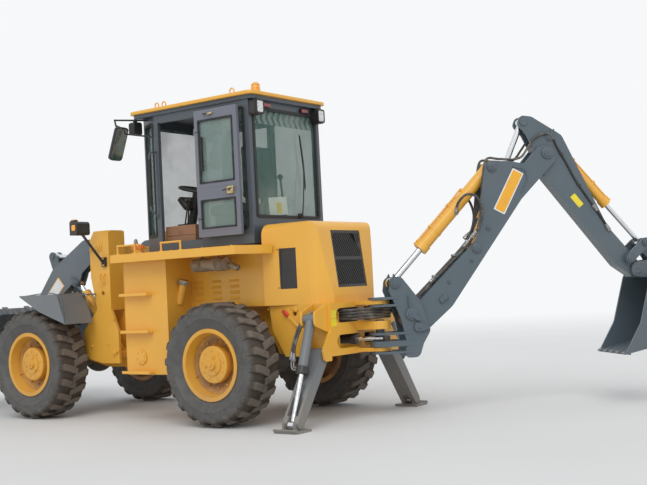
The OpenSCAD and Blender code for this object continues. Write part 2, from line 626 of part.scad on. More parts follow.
module rim_front_right() at_wheel(front_x, -1) color(YELLOW) rim_form();
module tyre_front_right() at_wheel(front_x, -1) color(BLACK) tyre_form(-1);

// Door, folded open flat along the cab's side
door_hinge = [385, 608];
module door() placed() color(DARK) {
    difference() {
        box([-180, 614, 1790], [365, 649, 3030]);
        box([-120, 600, 2270], [310, 660, 2970]);
        box([-120, 600, 1850], [310, 660, 2170]);
    }
    for (z = [1950, 2800]) {
        box([355, 616, z], [385, 640, z + 60]);
        translate([door_hinge[0], door_hinge[1], z]) cylinder(r = 14, h = 60);
    }
}
module door_glass() placed() color(GLASS) {
    box([-120, 628, 2270], [310, 634, 2970]);
    box([-120, 628, 1850], [310, 634, 2170]);
}

// Loader
module lift_arms() placed() color(GREY) {
    both_sides() difference() {
        union() {
            plate(arm_y, arm_t) polygon(rounded([[1812, 1885, 80], [2200, 1890, 120], [2720, 1600, 200],
                [3080, 1180, 200], [3800, 678, 150], [3935, 675, 75], [3935, 525, 75], [3780, 525, 75],
                [3200, 800, 200], [2820, 1080, 200], [2550, 1330, 150], [2100, 1630, 100], [1812, 1712, 80]]));
            plate(arm_y, arm_t) polygon(strap(lift_eye, 41, lift_eye + [20, 130], 120));
            bar(lift_eye, 34, arm_y - arm_t / 2 - 10, arm_y + arm_t / 2 + 10);
        }
        // Space for the eye of the lift cylinder
        plate(arm_y, 64) polygon([[2180, 1600], [2500, 1500], [2520, 1200], [2080, 1250]]);
        bar(bucket_pin, 35 + play, 300, 620);
    }
    both_sides() bar(arm_pivot, 40, arm_y - 118, arm_y + 118);
    bar(cross_tube, 75, -arm_y + arm_t / 2, arm_y - arm_t / 2);
    for (s = [1, -1]) plate(s * 74, 24) difference() {
        polygon(strap(cross_tube, 60, crank_pivot, 60));
        translate(crank_pivot) circle(r = 30);
    }
}
module bellcrank() placed() color(GREY) {
    for (s = [1, -1]) plate(s * 46, 22) {
        polygon(strap(crank_pivot, 85, crank_top, 55));
        polygon(strap(crank_pivot, 85, crank_low, 55));
    }
    bar(crank_pivot, 60, -57, 57);
    bar(crank_pivot, 30 - play, -90, 90);
    bar(crank_low, 25, -62, 62);
    bars(crank_top, 34, 40, 65);
}
module tilt_link() placed() color(GREY) difference() {
    plate(0, 60) polygon(strap(crank_low, 50, bucket_top_pin, 50));
    bar(crank_low, 25 + play, -80, 80);
}
// Bucket, drawn level about its pin and then rolled back to where it is carried
bucket_roll = 50;
bucket_ear = let (d = bucket_top_pin - bucket_pin) [d[0] * cos(bucket_roll) + d[1] * sin(bucket_roll),
    d[1] * cos(bucket_roll) - d[0] * sin(bucket_roll)];
module bucket_frame() translate([bucket_pin[0], 0, bucket_pin[1]]) rotate([0, -bucket_roll, 0]) children();
bucket_back = [[90, 700, 0], [90, -150, 150], [260, -290, 150], [950, -290, 0]];
bucket_inside = [[950, -265, 0], [266, -265, 130], [115, -140, 130], [115, 700, 0]];
module loader_bucket() placed() color(DARK) bucket_frame() {
    plate(0, bucket_w) polygon(rounded(concat(bucket_back, bucket_inside)));
    both_sides() {
        plate(bucket_w / 2 - 12, 24) polygon(rounded(concat(bucket_back,
            [[940, -190, 0], [480, 400, 200], [210, 690, 60]])));
        for (t = [1, -1]) plate(arm_y + t * 68, 24) polygon(rounded([[100, 160, 0], [20, 85, 60], [-78, 60, 60],
            [-78, -70, 60], [40, -150, 60], [200, -280, 0], [120, -120, 0]]));
        bar([0, 0], 35, arm_y - 80, arm_y + 80);
        plate(50, 24) polygon(rounded([[100, 230, 0], [-80, 300, 50], [-125, 420, 55], [-20, 450, 60], [100, 520, 0]]));
        bar(bucket_ear, 34, 60, 72);
    }
    // Cutting edge and teeth
    plate(0, bucket_w) polygon([[820, -302], [960, -302], [985, -280], [820, -280]]);
    for (i = [-3:3]) plate(i * (bucket_w - 90) / 6, 80) polygon([[850, -314], [940, -314], [1020, -290], [940, -258],
        [850, -258]]);
}
module tilt_barrel() placed() color(YELLOW)
    barrel(xz(tilt_base), xz(crank_top), 55, 720, 28, 50, 112, 25);
module tilt_rod() placed() color(STEEL)
    piston(xz(tilt_base), xz(crank_top), 800, 28, 45, 56, 25);
module lift_barrels() placed() color(YELLOW) for (s = [1, -1])
    barrel(xz(lift_base, s * arm_y), xz(lift_eye, s * arm_y), 52, 845, 26, 45, 150, 25);
module lift_rods() placed() color(STEEL) for (s = [1, -1])
    piston(xz(lift_base, s * arm_y), xz(lift_eye, s * arm_y), 820, 26, 40, 50, 25);

// Steering cylinders
module steer_barrel(side) placed() color(BLACK) mirrored(side)
    barrel(steer_base, steer_eye, 38, 478, 18, 36, 80, 18, 90);
module steer_rod(side) placed() color(STEEL) mirrored(side)
    piston(steer_base, steer_eye, 475, 18, 32, 44, 18, 90);
module steer_barrel_left() steer_barrel(1);
module steer_rod_left() steer_rod(1);
module steer_barrel_right() steer_barrel(-1);
module steer_rod_right() steer_rod(-1);

// Hoe
module swing_post() placed() color(GREY) hoe_plane() {
    // Each plate lies flat, as [bottom, thickness, reach]; the upper ones stop short of the boom
    for (flat = [[603, 22, 330], [670, 52, 330], [778, 22, 330], [1038, 22, 175], [1105, 22, 175]])
        difference() {
            translate([0, 0, flat[0]]) linear_extrude(flat[1]) polygon(rounded([[-95, -80, 78], [60, -165, 50],
                [flat[2], -150, 0], [flat[2], 150, 0], [60, 165, 50], [-95, 80, 78]]));
            // Room for the boom's heel when it is lowered
            box([85, -118, 590], [400, 118, 1000]);
        }
    translate([0, 0, 603]) cylinder(r = 40, h = 317);
    translate([0, 0, 1038]) cylinder(r = 40, h = 89);
    for (s = [1, -1]) plate(s * 137, 26) polygon(rounded([[70, 1180, 20], [90, 1310, 55], [190, 1310, 50],
        [360, 1080, 60], [447, 802, 60], [374, 686, 30], [330, 560, 60], [190, 560, 40], [214, 696, 40],
        [170, 928, 60]]));
    bar(boom_foot, 35, -165, 165);
    bars(boom_rod, 30, 48, 160);
}
module boom() placed() color(GREY) hoe_plane() {
    difference() {
        plate(0, 2 * boom_y) polygon(rounded([[190, 875, 78], [190, 1045, 78], [330, 1045, 60], [963, 1640, 250],
            [1060, 2350, 45], [1300, 2350, 30], [1455, 2318, 60], [1600, 2480, 60], [1765, 2490, 75],
            [1765, 2340, 60], [1405, 1983, 150], [676, 1011, 200], [418, 797, 90], [250, 820, 80]]));
        // Space for the dipper cylinder and the dipper's head
        plate(0, 2 * (boom_y - 22)) polygon([[840, 1440], [1000, 1400], [1260, 1720], [1900, 2300], [1900, 2600],
            [1400, 2600], [1040, 2500], [800, 1560]]);
        bar(boom_foot, 35 + play, -200, 200);
        bar(dipper_pin, 35 + play, -200, 200);
    }
    bar(boom_cap, 30, -boom_y - 8, boom_y + 8);
    bar(dipper_cap, 30, -boom_y - 8, boom_y + 8);
}
module dipper() placed() color(GREY) hoe_plane() {
    difference() {
        union() {
            plate(0, 2 * dipper_y) polygon(rounded([[1415, 2700, 45], [1450, 2785, 45], [1560, 2770, 60],
                [1850, 2585, 90], [2260, 1690, 200], [2570, 1315, 0], [2470, 1210, 0], [2330, 1310, 80],
                [1665, 2180, 80], [1590, 2400, 60], [1500, 2600, 40]]));
            bar(scoop_pin, 75, -dipper_y, dipper_y);
        }
        // Spaces for the eye of the dipper cylinder and for the bucket cylinder
        bar(dipper_rod, 230, -55, 55);
        plate(0, 110) polygon(strap(scoop_cap, 62, scoop_cap + 1.2 * (scoop_rod - scoop_cap), 62));
        bar(scoop_pin, 30 + play, -200, 200);
    }
    bar(dipper_pin, 35, -boom_y - 8, boom_y + 8);
    bar(scoop_cap, 28, -dipper_y, dipper_y);
    bar(rocker_pin, 25, -146, 146);
    bars(dipper_rod, 25, 36, dipper_y + 8);
}
module hoe_bucket() placed() color(GREY) hoe_plane() {
    plate(0, hoe_bucket_w) polygon(rounded([[2640, 1215, 0], [2800, 1215, 60], [2900, 960, 150],
        [2700, 560, 200], [2256, 472, 0], [2256, 496, 0], [2680, 590, 180], [2868, 960, 130],
        [2785, 1185, 40], [2640, 1185, 0]]));
    for (s = [1, -1]) plate(s * (hoe_bucket_w / 2 - 10), 20) polygon(rounded([[2560, 1215, 30],
        [2800, 1215, 60], [2900, 960, 150], [2700, 560, 200], [2256, 472, 0], [2430, 760, 150]]));
    for (s = [1, -1]) plate(s * 100, 28) polygon(rounded([[2455, 1200, 60], [2470, 1330, 60],
        [2780, 1370, 60], [2830, 1200, 0], [2600, 1190, 0]]));
    bar(scoop_pin, 30, -114, 114);
    bars(scoop_link, 25, 66, 114);
    // Teeth
    for (i = [-2:2]) plate(i * (hoe_bucket_w - 64) / 4, 64) polygon([[2310, 466], [2240, 480],
        [2258, 500], [2310, 514]]);
}
module rocker() placed() color(GREY) hoe_plane() {
    for (s = [1, -1]) plate(s * 130, 20) difference() {
        polygon(strap(rocker_pin, 45, scoop_rod, 45));
        translate(rocker_pin) circle(r = 25 + play);
    }
    bars(scoop_rod, 25, 34, 146);
}
module bucket_link() placed() color(GREY) hoe_plane() difference() {
    plate(0, 120) polygon(strap(scoop_rod, 45, scoop_link, 45));
    bar(scoop_rod, 25 + play, -200, 200);
    bar(scoop_rod, 150, -34, 34);
}
module boom_barrel() placed() color(YELLOW) hoe_plane()
    barrel(xz(boom_cap), xz(boom_rod), 60, 1030, 30, 58, 150, 30);
module boom_rod_piece() placed() color(STEEL) hoe_plane()
    piston(xz(boom_cap), xz(boom_rod), 1150, 30, 52, 80, 30);
module dipper_barrel() placed() color(YELLOW) hoe_plane()
    barrel(xz(dipper_cap), xz(dipper_rod), 55, 700, 28, 52, 150, 30);
module dipper_rod_piece() placed() color(STEEL) hoe_plane()
    piston(xz(dipper_cap), xz(dipper_rod), 840, 28, 45, 60, 25);
module scoop_barrel() placed() color(YELLOW) hoe_plane()
    barrel(xz(scoop_cap), xz(scoop_rod), 44, 870, 24, 45, 90, 28);
module scoop_rod_piece() placed() color(STEEL) hoe_plane()
    piston(xz(scoop_cap), xz(scoop_rod), 1000, 24, 40, 56, 25);

// Swing cylinders, lying flat under the engine
function swing_eye(side) = let (a = 180 + swing_park - side * swing_lever_angle)
    [swing_x + swing_lever_r * cos(a), swing_lever_r * sin(a), swing_base[2]];
function swing_root(side) = [swing_base[0], side * swing_base[1], swing_base[2]];
module swing_barrel(side) placed() color(BLACK)
    barrel(swing_root(side), swing_eye(side), 40, 380, 20, 38, 90, 20, 90);
module swing_rod(side) placed() color(STEEL)
    piston(swing_root(side), swing_eye(side), 370, 20, 34, 44, 18, 90);
module swing_barrel_left() swing_barrel(1);
module swing_rod_left() swing_rod(1);
module swing_barrel_right() swing_barrel(-1);
module swing_rod_right() swing_rod(-1);

// Stabilizers
module leg(side) placed() color(GREY) mirrored(side) difference() {
    union() {
        cross_plate(leg_x, leg_w) polygon(strap(leg_pivot, 60, leg_foot + [-12, 12], 48));
        translate([leg_x, leg_foot[0], 0]) rotate([90, 0, 90]) linear_extrude(260, center = true)
            polygon([[-100, 0], [100, 0], [120, 30], [105, 38], [90, 20], [-100, 20]]);
        for (s = [1, -1]) box([leg_x + s * 60 - 12, leg_foot[0] - 60, 10], [leg_x + s * 60 + 12, leg_foot[0] + 60, 80]);
    }
    translate(yz(leg_pivot, leg_x)) rotate([0, 90, 0]) cylinder(r = 30 + play, h = 400, center = true);
    // Space for the rod and its eye
    cross_plate(leg_x, 76) difference() {
        polygon(strap(leg_foot, 80, leg_foot + [-110, 310], 66));
        translate([0, -100]) square([2000, 120]);
    }
    // Space for the barrel when the leg is folded
    cross_plate(leg_x, 118) polygon(strap([947, 195], 64, [896, 711], 80));
}
module leg_barrel(side) placed() color(GREY) mirrored(side)
    barrel(yz(leg_base, leg_x), yz(leg_foot, leg_x), 44, 510, 24, 44, 120, 25);
module leg_rod(side) placed() color(STEEL) mirrored(side)
    piston(yz(leg_base, leg_x), yz(leg_foot, leg_x), 570, 24, 38, 60, 25);
module leg_left() leg(1);
module leg_right() leg(-1);
module leg_barrel_left() leg_barrel(1);
module leg_rod_left() leg_rod(1);
module leg_barrel_right() leg_barrel(-1);
module leg_rod_right() leg_rod(-1);

rear_frame();
driveline();
hood();
grilles();
deck();
tanks();
cab_frame();
cab_roof();
cab_glass();
seat();
controls();
cab_lamps();
front_frame();
front_axle();
front_fenders();
headlamps();
rim_rear_left();
tyre_rear_left();
rim_rear_right();
tyre_rear_right();
rim_front_left();
tyre_front_left();
rim_front_right();
tyre_front_right();
door();
door_glass();
lift_arms();
bellcrank();
tilt_link();
loader_bucket();
tilt_barrel();
tilt_rod();
lift_barrels();
lift_rods();
steer_barrel_left();
steer_rod_left();
steer_barrel_right();
steer_rod_right();
swing_post();
boom();
dipper();
hoe_bucket();
rocker();
bucket_link();
boom_barrel();
boom_rod_piece();
dipper_barrel();
dipper_rod_piece();
scoop_barrel();
scoop_rod_piece();
swing_barrel_left();
swing_rod_left();
swing_barrel_right();
swing_rod_right();
leg_left();
leg_right();
leg_barrel_left();
leg_rod_left();
leg_barrel_right();
leg_rod_right();
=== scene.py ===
# %% [markdown]
# # Finishing a backhoe loader
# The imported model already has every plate, pin and cylinder of the machine at its true size.
# This lesson dresses it: paint with dust and mud, rubber, glass, chrome, and the small trim that a maker
# bolts on last. Everything is in metres. +X is forward, +Y is the machine's left and +Z is up.

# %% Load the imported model
import json
import math
import bmesh
import bpy
from mathutils import Matrix, Vector, noise


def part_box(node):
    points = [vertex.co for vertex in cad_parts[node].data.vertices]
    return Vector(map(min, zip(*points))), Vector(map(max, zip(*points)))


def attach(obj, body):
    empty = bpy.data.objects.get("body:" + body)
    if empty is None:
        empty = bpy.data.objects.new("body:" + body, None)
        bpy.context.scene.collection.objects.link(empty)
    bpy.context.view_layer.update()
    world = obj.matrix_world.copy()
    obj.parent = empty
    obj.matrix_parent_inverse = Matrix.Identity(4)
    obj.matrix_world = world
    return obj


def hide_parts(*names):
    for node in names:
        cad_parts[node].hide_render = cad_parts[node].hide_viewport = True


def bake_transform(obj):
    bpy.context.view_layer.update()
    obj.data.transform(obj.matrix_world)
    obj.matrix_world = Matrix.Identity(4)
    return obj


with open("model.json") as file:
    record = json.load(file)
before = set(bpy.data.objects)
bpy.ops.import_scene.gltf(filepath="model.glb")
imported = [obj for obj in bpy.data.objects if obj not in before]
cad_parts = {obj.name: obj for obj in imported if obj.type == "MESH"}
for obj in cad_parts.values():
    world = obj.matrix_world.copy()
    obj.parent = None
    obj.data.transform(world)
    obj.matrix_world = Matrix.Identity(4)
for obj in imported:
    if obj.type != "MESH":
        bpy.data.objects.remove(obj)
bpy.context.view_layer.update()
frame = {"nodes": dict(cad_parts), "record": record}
nodes = frame["nodes"]
slot_of = {part["node"]: part["material_slot"] for part in frame["record"]["subparts"]}

# %% [markdown]
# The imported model's origin is in the middle of its box. Sizes are easier to read from the ground under the
# rear axle, so small parts are drawn from there and moved by one vector. The hoe has its own plane, which
# is turned 45 degrees to the right where the machine is parked.

# %% The machine's own zero and the hoe's plane
def at(x, y, z):
    """A place that is only moved."""
    return Matrix.Translation((x, y, z))


def spun(degrees):
    """A turn about a place's own Z."""
    return Matrix.Rotation(math.radians(degrees), 4, "Z")


wheel_low, wheel_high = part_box("rim_rear_left")
roof_low, roof_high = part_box("cab_roof")
ZERO = Vector(((wheel_low[0] + wheel_high[0]) / 2, (roof_low[1] + roof_high[1]) / 2, 0))
HOE = at(-1.26, 0, 0) @ spun(225)
print("rear axle at", [round(c, 3) for c in ZERO])

# %% [markdown]
# ## The camera
# The photograph was taken from behind and to the left of the machine, at chest height and with a slightly
# long lens. Position and angles come from fitting the wheels, the cab and the frame to the picture.

# %% Camera
IMAGE_WIDTH = 647
SENSOR = 36.0
FOCAL_PIXELS = 1071.0
EYE = ZERO + Vector((-6.772, 8.36, 1.272))
YAW, PITCH, ROLL = math.radians(-53.82), math.radians(2.25), math.radians(-2.96)

forward = Vector((math.cos(PITCH) * math.cos(YAW), math.cos(PITCH) * math.sin(YAW), math.sin(PITCH)))
level_right = forward.cross(Vector((0, 0, 1))).normalized()
level_up = level_right.cross(forward)
right = math.cos(ROLL) * level_right + math.sin(ROLL) * level_up
up = math.cos(ROLL) * level_up - math.sin(ROLL) * level_right
camera_data = bpy.data.cameras.new("camera")
camera_data.sensor_width = SENSOR
camera_data.lens = FOCAL_PIXELS / IMAGE_WIDTH * SENSOR
camera_data.clip_end = 200
camera = bpy.data.objects.new("camera", camera_data)
camera.matrix_world = Matrix.Translation(EYE) @ Matrix((right, up, -forward)).transposed().to_4x4()
bpy.context.scene.collection.objects.link(camera)
bpy.context.scene.camera = camera
print("lens:", round(camera_data.lens, 1), "mm")

# %% [markdown]
# ## Shader maths as plain expressions
# A finish is a sum of simple patterns: dust where a surface is low, mud where noise is high, less gloss
# where there is either. Blender wants a node for each sum. The small class below wraps a socket, so that
# 1 - mask or mask * 0.3 adds those nodes by itself, and a finish can be read like a formula.

# %% Sockets that can be added and multiplied
class Level:
    """A number that changes over a surface."""

    def __init__(self, finish, socket):
        self.finish, self.socket = finish, socket

    def _with(self, operation, first, second):
        return self.finish.add("Math", {"operation": operation}, {0: first, 1: second})

    def __add__(self, other):
        return self._with("ADD", self, other)

    def __radd__(self, other):
        return self._with("ADD", other, self)

    def __sub__(self, other):
        return self._with("SUBTRACT", self, other)

    def __rsub__(self, other):
        return self._with("SUBTRACT", other, self)

    def __mul__(self, other):
        return self._with("MULTIPLY", self, other)

    def __rmul__(self, other):
        return self._with("MULTIPLY", other, self)


class Finish:
    """A material, or the sky, that is being put together."""

    def __init__(self, name, owner=None):
        self.material = owner or bpy.data.materials.new(name)
        self.material.use_nodes = True
        self.tree = self.material.node_tree
        self.tree.nodes.clear()
        if owner is None:
            self.place = self.add("TexCoord", output="Object")

    def add(self, kind, settings=None, sockets=None, output=0):
        """Adds one node: its settings first, then the values or links of its sockets."""
        made = self.tree.nodes.new("ShaderNode" + kind)
        for key, value in (settings or {}).items():
            setattr(made, key, value)
        for key, value in (sockets or {}).items():
            if isinstance(value, Level):
                self.tree.links.new(value.socket, made.inputs[key])
            elif made.inputs[key].type == "RGBA":
                made.inputs[key].default_value = (*value, 1)
            else:
                made.inputs[key].default_value = value
        return Level(self, made.outputs[output]) if made.outputs else None

    def between(self, mask, low, high):
        """The colour low where the mask is 0 and high where it is 1."""
        return self.add("Mix", {"data_type": "RGBA"}, {0: mask, 6: low, 7: high}, output=2)

    def clamp(self, level):
        return self.add("Clamp", {}, {"Value": level})

    def step(self, level, start, end):
        """0 below start and 1 above end, smooth between."""
        return self.add("MapRange", {"interpolation_type": "SMOOTHSTEP"},
                        {"Value": level, "From Min": start, "From Max": end})

    def noise(self, scale, detail=4.0, rough=0.55, stretch=(1, 1, 1)):
        spot = self.place if stretch == (1, 1, 1) else self.add(
            "VectorMath", {"operation": "MULTIPLY"}, {0: self.place, 1: stretch})
        return self.add("TexNoise", {}, {"Vector": spot, "Scale": scale, "Detail": detail,
                                         "Roughness": rough})

    def cells(self, scale):
        return self.add("TexVoronoi", {}, {"Vector": self.place, "Scale": scale})

    def height(self):
        """Metres above the ground."""
        return self.add("SeparateXYZ", {}, {0: self.place}, output=2)

    def surface(self, colour, roughness, metallic=0.0, bump=None, depth=0.001, coat=0.0, alpha=1.0,
                extra=None):
        """Ends the finish with one shader and the output."""
        sockets = {"Base Color": colour, "Roughness": roughness, "Metallic": metallic,
                   "Coat Weight": coat, "Alpha": alpha, **(extra or {})}
        if bump:
            sockets["Normal"] = self.add("Bump", {}, {"Height": bump, "Distance": depth, "Strength": 1.0})
        shader = self.add("BsdfPrincipled", {}, sockets)
        self.add("OutputMaterial", {}, {"Surface": shader})
        return self.material


# %% [markdown]
# ## Dust and mud
# The machine works on wet soil, so every painted surface has the same two layers: pale dust in soft clouds,
# thicker low down, and dried splashes of mud near the wheels and the tools. One helper adds both to any
# colour, so that all paints look as if they had stood in the same place.

# %% Dust and mud on a colour
MUD = (0.155, 0.105, 0.066)
DUST = (0.40, 0.32, 0.23)


def weathered(finish, paint, splash_height=1.0, splash=0.5, dust=0.35, gloss=0.36):
    """The colour and roughness of a paint under dust and mud."""
    height = finish.height()
    low = 1 - finish.step(height, 0.05, splash_height)
    clouds = finish.noise(1.7, 5)
    grain = finish.noise(23, 6, 0.7)
    dusty = finish.clamp((clouds - 0.45) * 1.5 * dust + low * grain * dust * 1.5)
    muddy = finish.step(finish.noise(9, 7, 0.68) + low * splash * 0.55 - 0.35, 0.40, 0.60) * 0.75
    colour = finish.between(muddy, finish.between(dusty, paint, DUST), MUD)
    roughness = finish.clamp(gloss + dusty * 0.45 + muddy * 0.5)
    return colour, roughness, muddy


# %% [markdown]
# ## Paints
# Body yellow is a warm, half-gloss enamel. The arms and the hoe are a blue grey, and the cab's frame is a
# darker grey. Large sprayed plates are never quite flat, so a faint ripple goes into the bump.

# %% Painted steel
def paint(name, colour, shade, splash_height=1.0, splash=0.5, dust=0.35, gloss=0.36):
    finish = Finish(name)
    faded = finish.between(finish.noise(3.1, 3), colour, shade)
    dirty, roughness, muddy = weathered(finish, faded, splash_height, splash, dust, gloss)
    ripple = finish.noise(6, 2) * 0.6 + muddy * 0.8 + finish.noise(160, 2) * 0.05
    return finish.surface(dirty, roughness, bump=ripple, depth=0.0015, coat=0.12)


yellow_paint = paint("yellow_enamel", (0.86, 0.455, 0.055), (0.77, 0.385, 0.045), 0.8, 0.30, 0.12)
grey_paint = paint("grey_enamel", (0.094, 0.126, 0.148), (0.078, 0.104, 0.122), 0.8, 0.30, 0.14)
fender_paint = paint("fender_enamel", (0.185, 0.195, 0.202), (0.138, 0.152, 0.163), 0.6, 0.2, 0.20, 0.45)
arm_paint = paint("arm_enamel", (0.128, 0.152, 0.170), (0.104, 0.126, 0.143), 0.8, 0.30, 0.14)
leg_paint = paint("leg_enamel", (0.19, 0.20, 0.205), (0.135, 0.148, 0.157), 0.55, 0.36, 0.40, 0.45)
cab_paint = paint("cab_enamel", (0.078, 0.096, 0.116), (0.062, 0.076, 0.092), 0.8, 0.2, 0.10)
door_paint = paint("door_enamel", (0.175, 0.185, 0.225), (0.140, 0.148, 0.182), 0.8, 0.2, 0.10)
black_paint = paint("black_enamel", (0.014, 0.014, 0.015), (0.026, 0.025, 0.024), 0.9, 0.4, 0.12)
print("paints:", [m.name for m in (yellow_paint, grey_paint, cab_paint, black_paint)])

# %% [markdown]
# ## Rims
# The rims are the same yellow. Soil dries in the deep dish and darkens it, and the dish's yellow is also
# painted darker as painted shade in the recess; the outer flange stays clean.

# %% Rim paint
def rim_enamel():
    """The dish lies nearest to the machine's middle plane, so the distance from there is the mask."""
    finish = Finish("rim_enamel")
    across = finish.add("SeparateXYZ", {}, {0: finish.place}, output=1) - ZERO.y
    outside = finish.step(finish.add("Math", {"operation": "ABSOLUTE"}, {0: across}), 0.868, 0.915)
    soil = finish.noise(5, 5, 0.6)
    # The dish: soil brown over a darker copy of the rim yellow, and that darker yellow is painted shade in
    # the recess.
    dish = finish.between(finish.step(soil, 0.40, 0.62), (0.55, 0.255, 0.035), (0.26, 0.130, 0.045))
    flange = finish.between(finish.noise(3.1, 3), (0.80, 0.42, 0.040), (0.62, 0.29, 0.030))
    dirty, roughness, muddy = weathered(finish, finish.between(outside, dish, flange), 0.75, 0.30, 0.20)
    return finish.surface(dirty, finish.clamp(roughness + (1 - outside) * 0.2), bump=muddy + soil * 0.4,
                          depth=0.0015, coat=0.08)


rim_paint = rim_enamel()

# %% [markdown]
# ## Rubber
# New tread is nearly black. Here the shoulders are grey with dried soil and the grooves are full of it, and
# between the lugs that soil is painted darker as painted shade.

# %% Tyre rubber
def rubber():
    """Its own coordinates start on the axle, so distance from the axle tells wall, groove and lug apart."""
    finish = Finish("tyre_rubber")
    round_the_axle = finish.add("VectorMath", {"operation": "MULTIPLY"}, {0: finish.place, 1: (1, 0, 1)})
    radius = finish.add("VectorMath", {"operation": "LENGTH"}, {0: round_the_axle}, output=1)
    clouds = finish.noise(4, 5, 0.6)
    crumbs = finish.noise(34, 6, 0.7)
    tread = finish.step(radius, 0.505, 0.545)
    lug_top = finish.step(radius, 0.556, 0.574)
    soil = finish.step(clouds * 0.6 + crumbs * 0.5 + tread * 0.16 - 0.1, 0.42, 0.62)
    wall = finish.between(finish.noise(12, 3), (0.055, 0.055, 0.054), (0.135, 0.132, 0.126))
    # Between the lugs the soil colour is darker than on the lug tops: soil, with painted shade in the
    # grooves.
    groove = finish.between(crumbs, (0.055, 0.042, 0.032), (0.105, 0.078, 0.055))
    worn = finish.between(crumbs, (0.105, 0.088, 0.072), (0.245, 0.195, 0.150))
    caked_and_groove_shade = finish.between(tread, finish.between(crumbs, (0.11, 0.100, 0.088), (0.21, 0.185, 0.155)),
                           finish.between(lug_top, groove, worn))
    return finish.surface(finish.between(soil * 0.85, wall, caked_and_groove_shade), finish.clamp(0.66 + soil * 0.28),
                          bump=crumbs * 0.6 + soil, depth=0.006)


tyre_rubber = rubber()

# %% [markdown]
# ## Chrome, cast iron and worn steel
# Piston rods are hard chrome with a film of oil and a little dust. The axles and the engine are rough
# castings. The loader bucket has lost most of its paint to soil, which leaves long bright scratches.

# %% Metals
def chrome():
    finish = Finish("rod_chrome")
    film = finish.step(finish.noise(14, 4), 0.52, 0.7)
    colour = finish.between(film * 0.5, (0.72, 0.74, 0.76), (0.42, 0.38, 0.33))
    return finish.surface(colour, finish.clamp(0.12 + film * 0.3), metallic=1.0 - film * 0.3)


def casting():
    """Iron, with the dusty sheet steel of the silencer where it hangs high beside the engine."""
    finish = Finish("rough_casting")
    high = finish.step(finish.height(), 1.425, 1.435)
    outside = finish.step(finish.add("SeparateXYZ", {}, {0: finish.place}, output=1), ZERO.y + 0.56,
                          ZERO.y + 0.58)
    sheet = finish.between(finish.step(finish.noise(9, 5, 0.6), 0.4, 0.65), (0.34, 0.255, 0.165),
                           (0.20, 0.145, 0.095))
    iron = finish.between(high * outside, (0.035, 0.034, 0.034), sheet)
    dirty, roughness, muddy = weathered(finish, iron, 1.1, 0.45, 0.28, 0.6)
    return finish.surface(dirty, roughness, bump=finish.noise(70, 4) + muddy, depth=0.002)


def worn_steel():
    finish = Finish("bucket_steel")
    scratches = finish.step(finish.noise(26, 5, 0.6, (0.25, 1.6, 0.25)), 0.55, 0.63)
    dirty, roughness, muddy = weathered(finish, (0.075, 0.085, 0.092), 1.2, 0.35, 0.45, 0.5)
    colour = finish.between(scratches * 0.5, dirty, (0.36, 0.36, 0.35))
    return finish.surface(colour, roughness, bump=finish.noise(30, 4) + muddy, depth=0.002)


rod_chrome, rough_casting, bucket_steel = chrome(), casting(), worn_steel()

# %% [markdown]
# ## Glass, plastic and the seat
# The panes are green-tinted safety glass. They are thin, so a see-through surface with a clear gloss does
# what full refraction would, and it stays quick to render. Dust greys them in soft clouds.

# %% Glass and plastics
def glass(name, clear, dusty, dense):
    finish = Finish(name)
    dust = finish.step(finish.noise(2.2, 4), 0.45, 0.8)
    colour = finish.between(dust, clear, dusty)
    return finish.surface(colour, 0.04, alpha=finish.clamp(dense + dust * 0.14), coat=0.3)


def plastic(name, colour, roughness=0.5):
    finish = Finish(name)
    shade = tuple(0.6 * c for c in colour)
    tone = finish.between(finish.step(finish.noise(7, 4), 0.4, 0.7), colour, shade)
    dirty, rough, muddy = weathered(finish, tone, 0.8, 0.2, 0.3, roughness)
    return finish.surface(dirty, rough, bump=finish.noise(420, 2), depth=0.0003)


def leather():
    finish = Finish("seat_cover")
    grain = finish.cells(160)
    colour = finish.between(finish.noise(6, 3), (0.02, 0.02, 0.022), (0.045, 0.044, 0.046))
    return finish.surface(colour, finish.clamp(0.45 + grain * 0.2), bump=grain, depth=0.0008)


window_glass = glass("window_glass", (0.075, 0.185, 0.150), (0.25, 0.33, 0.29), 0.34)
door_glass = glass("door_glass", (0.240, 0.330, 0.300), (0.36, 0.42, 0.38), 0.52)
seat_cover = leather()
lamp_plastic = plastic("lamp_plastic", (0.02, 0.02, 0.021))

# %% [markdown]
# ## Putting the finishes on
# Each solid of the model names the kind of material that it is made of, and that name picks the finish. A
# few solids then get a finish of their own, such as the rims and the bare steel of the loader bucket.

# %% Dress the solids
FINISHES = {"yellow_paint": yellow_paint, "grey_paint": grey_paint, "dark_paint": cab_paint,
            "black_paint": black_paint, "rod_chrome": rod_chrome, "window_glass": window_glass,
            "tyre_rubber": tyre_rubber, "seat_cover": seat_cover, "lamp_plastic": lamp_plastic,
            "casting": rough_casting}


def dress(piece, material):
    piece.data.materials.clear()
    piece.data.materials.append(material)


for name, piece in nodes.items():
    dress(piece, FINISHES[slot_of[name]])
    if name.startswith("rim_"):
        dress(piece, rim_paint)
dress(nodes["loader_bucket"], bucket_steel)
dress(nodes["door"], door_paint)
dress(nodes["door_glass"], door_glass)
dress(nodes["front_fenders"], fender_paint)
dress(nodes["lift_arms"], arm_paint)
for name in ("leg_left", "leg_right", "leg_barrel_left", "leg_barrel_right"):
    dress(nodes[name], leg_paint)

# %% [markdown]
# ## Small materials
# Bolts and fittings are zinc plated, the lock is brass, and dust covers the silencer. Lenses are coloured
# plastic over a bright reflector, and the clear and amber ones carry a faint painted glow. Labels are plain
# film, and they stay blank.

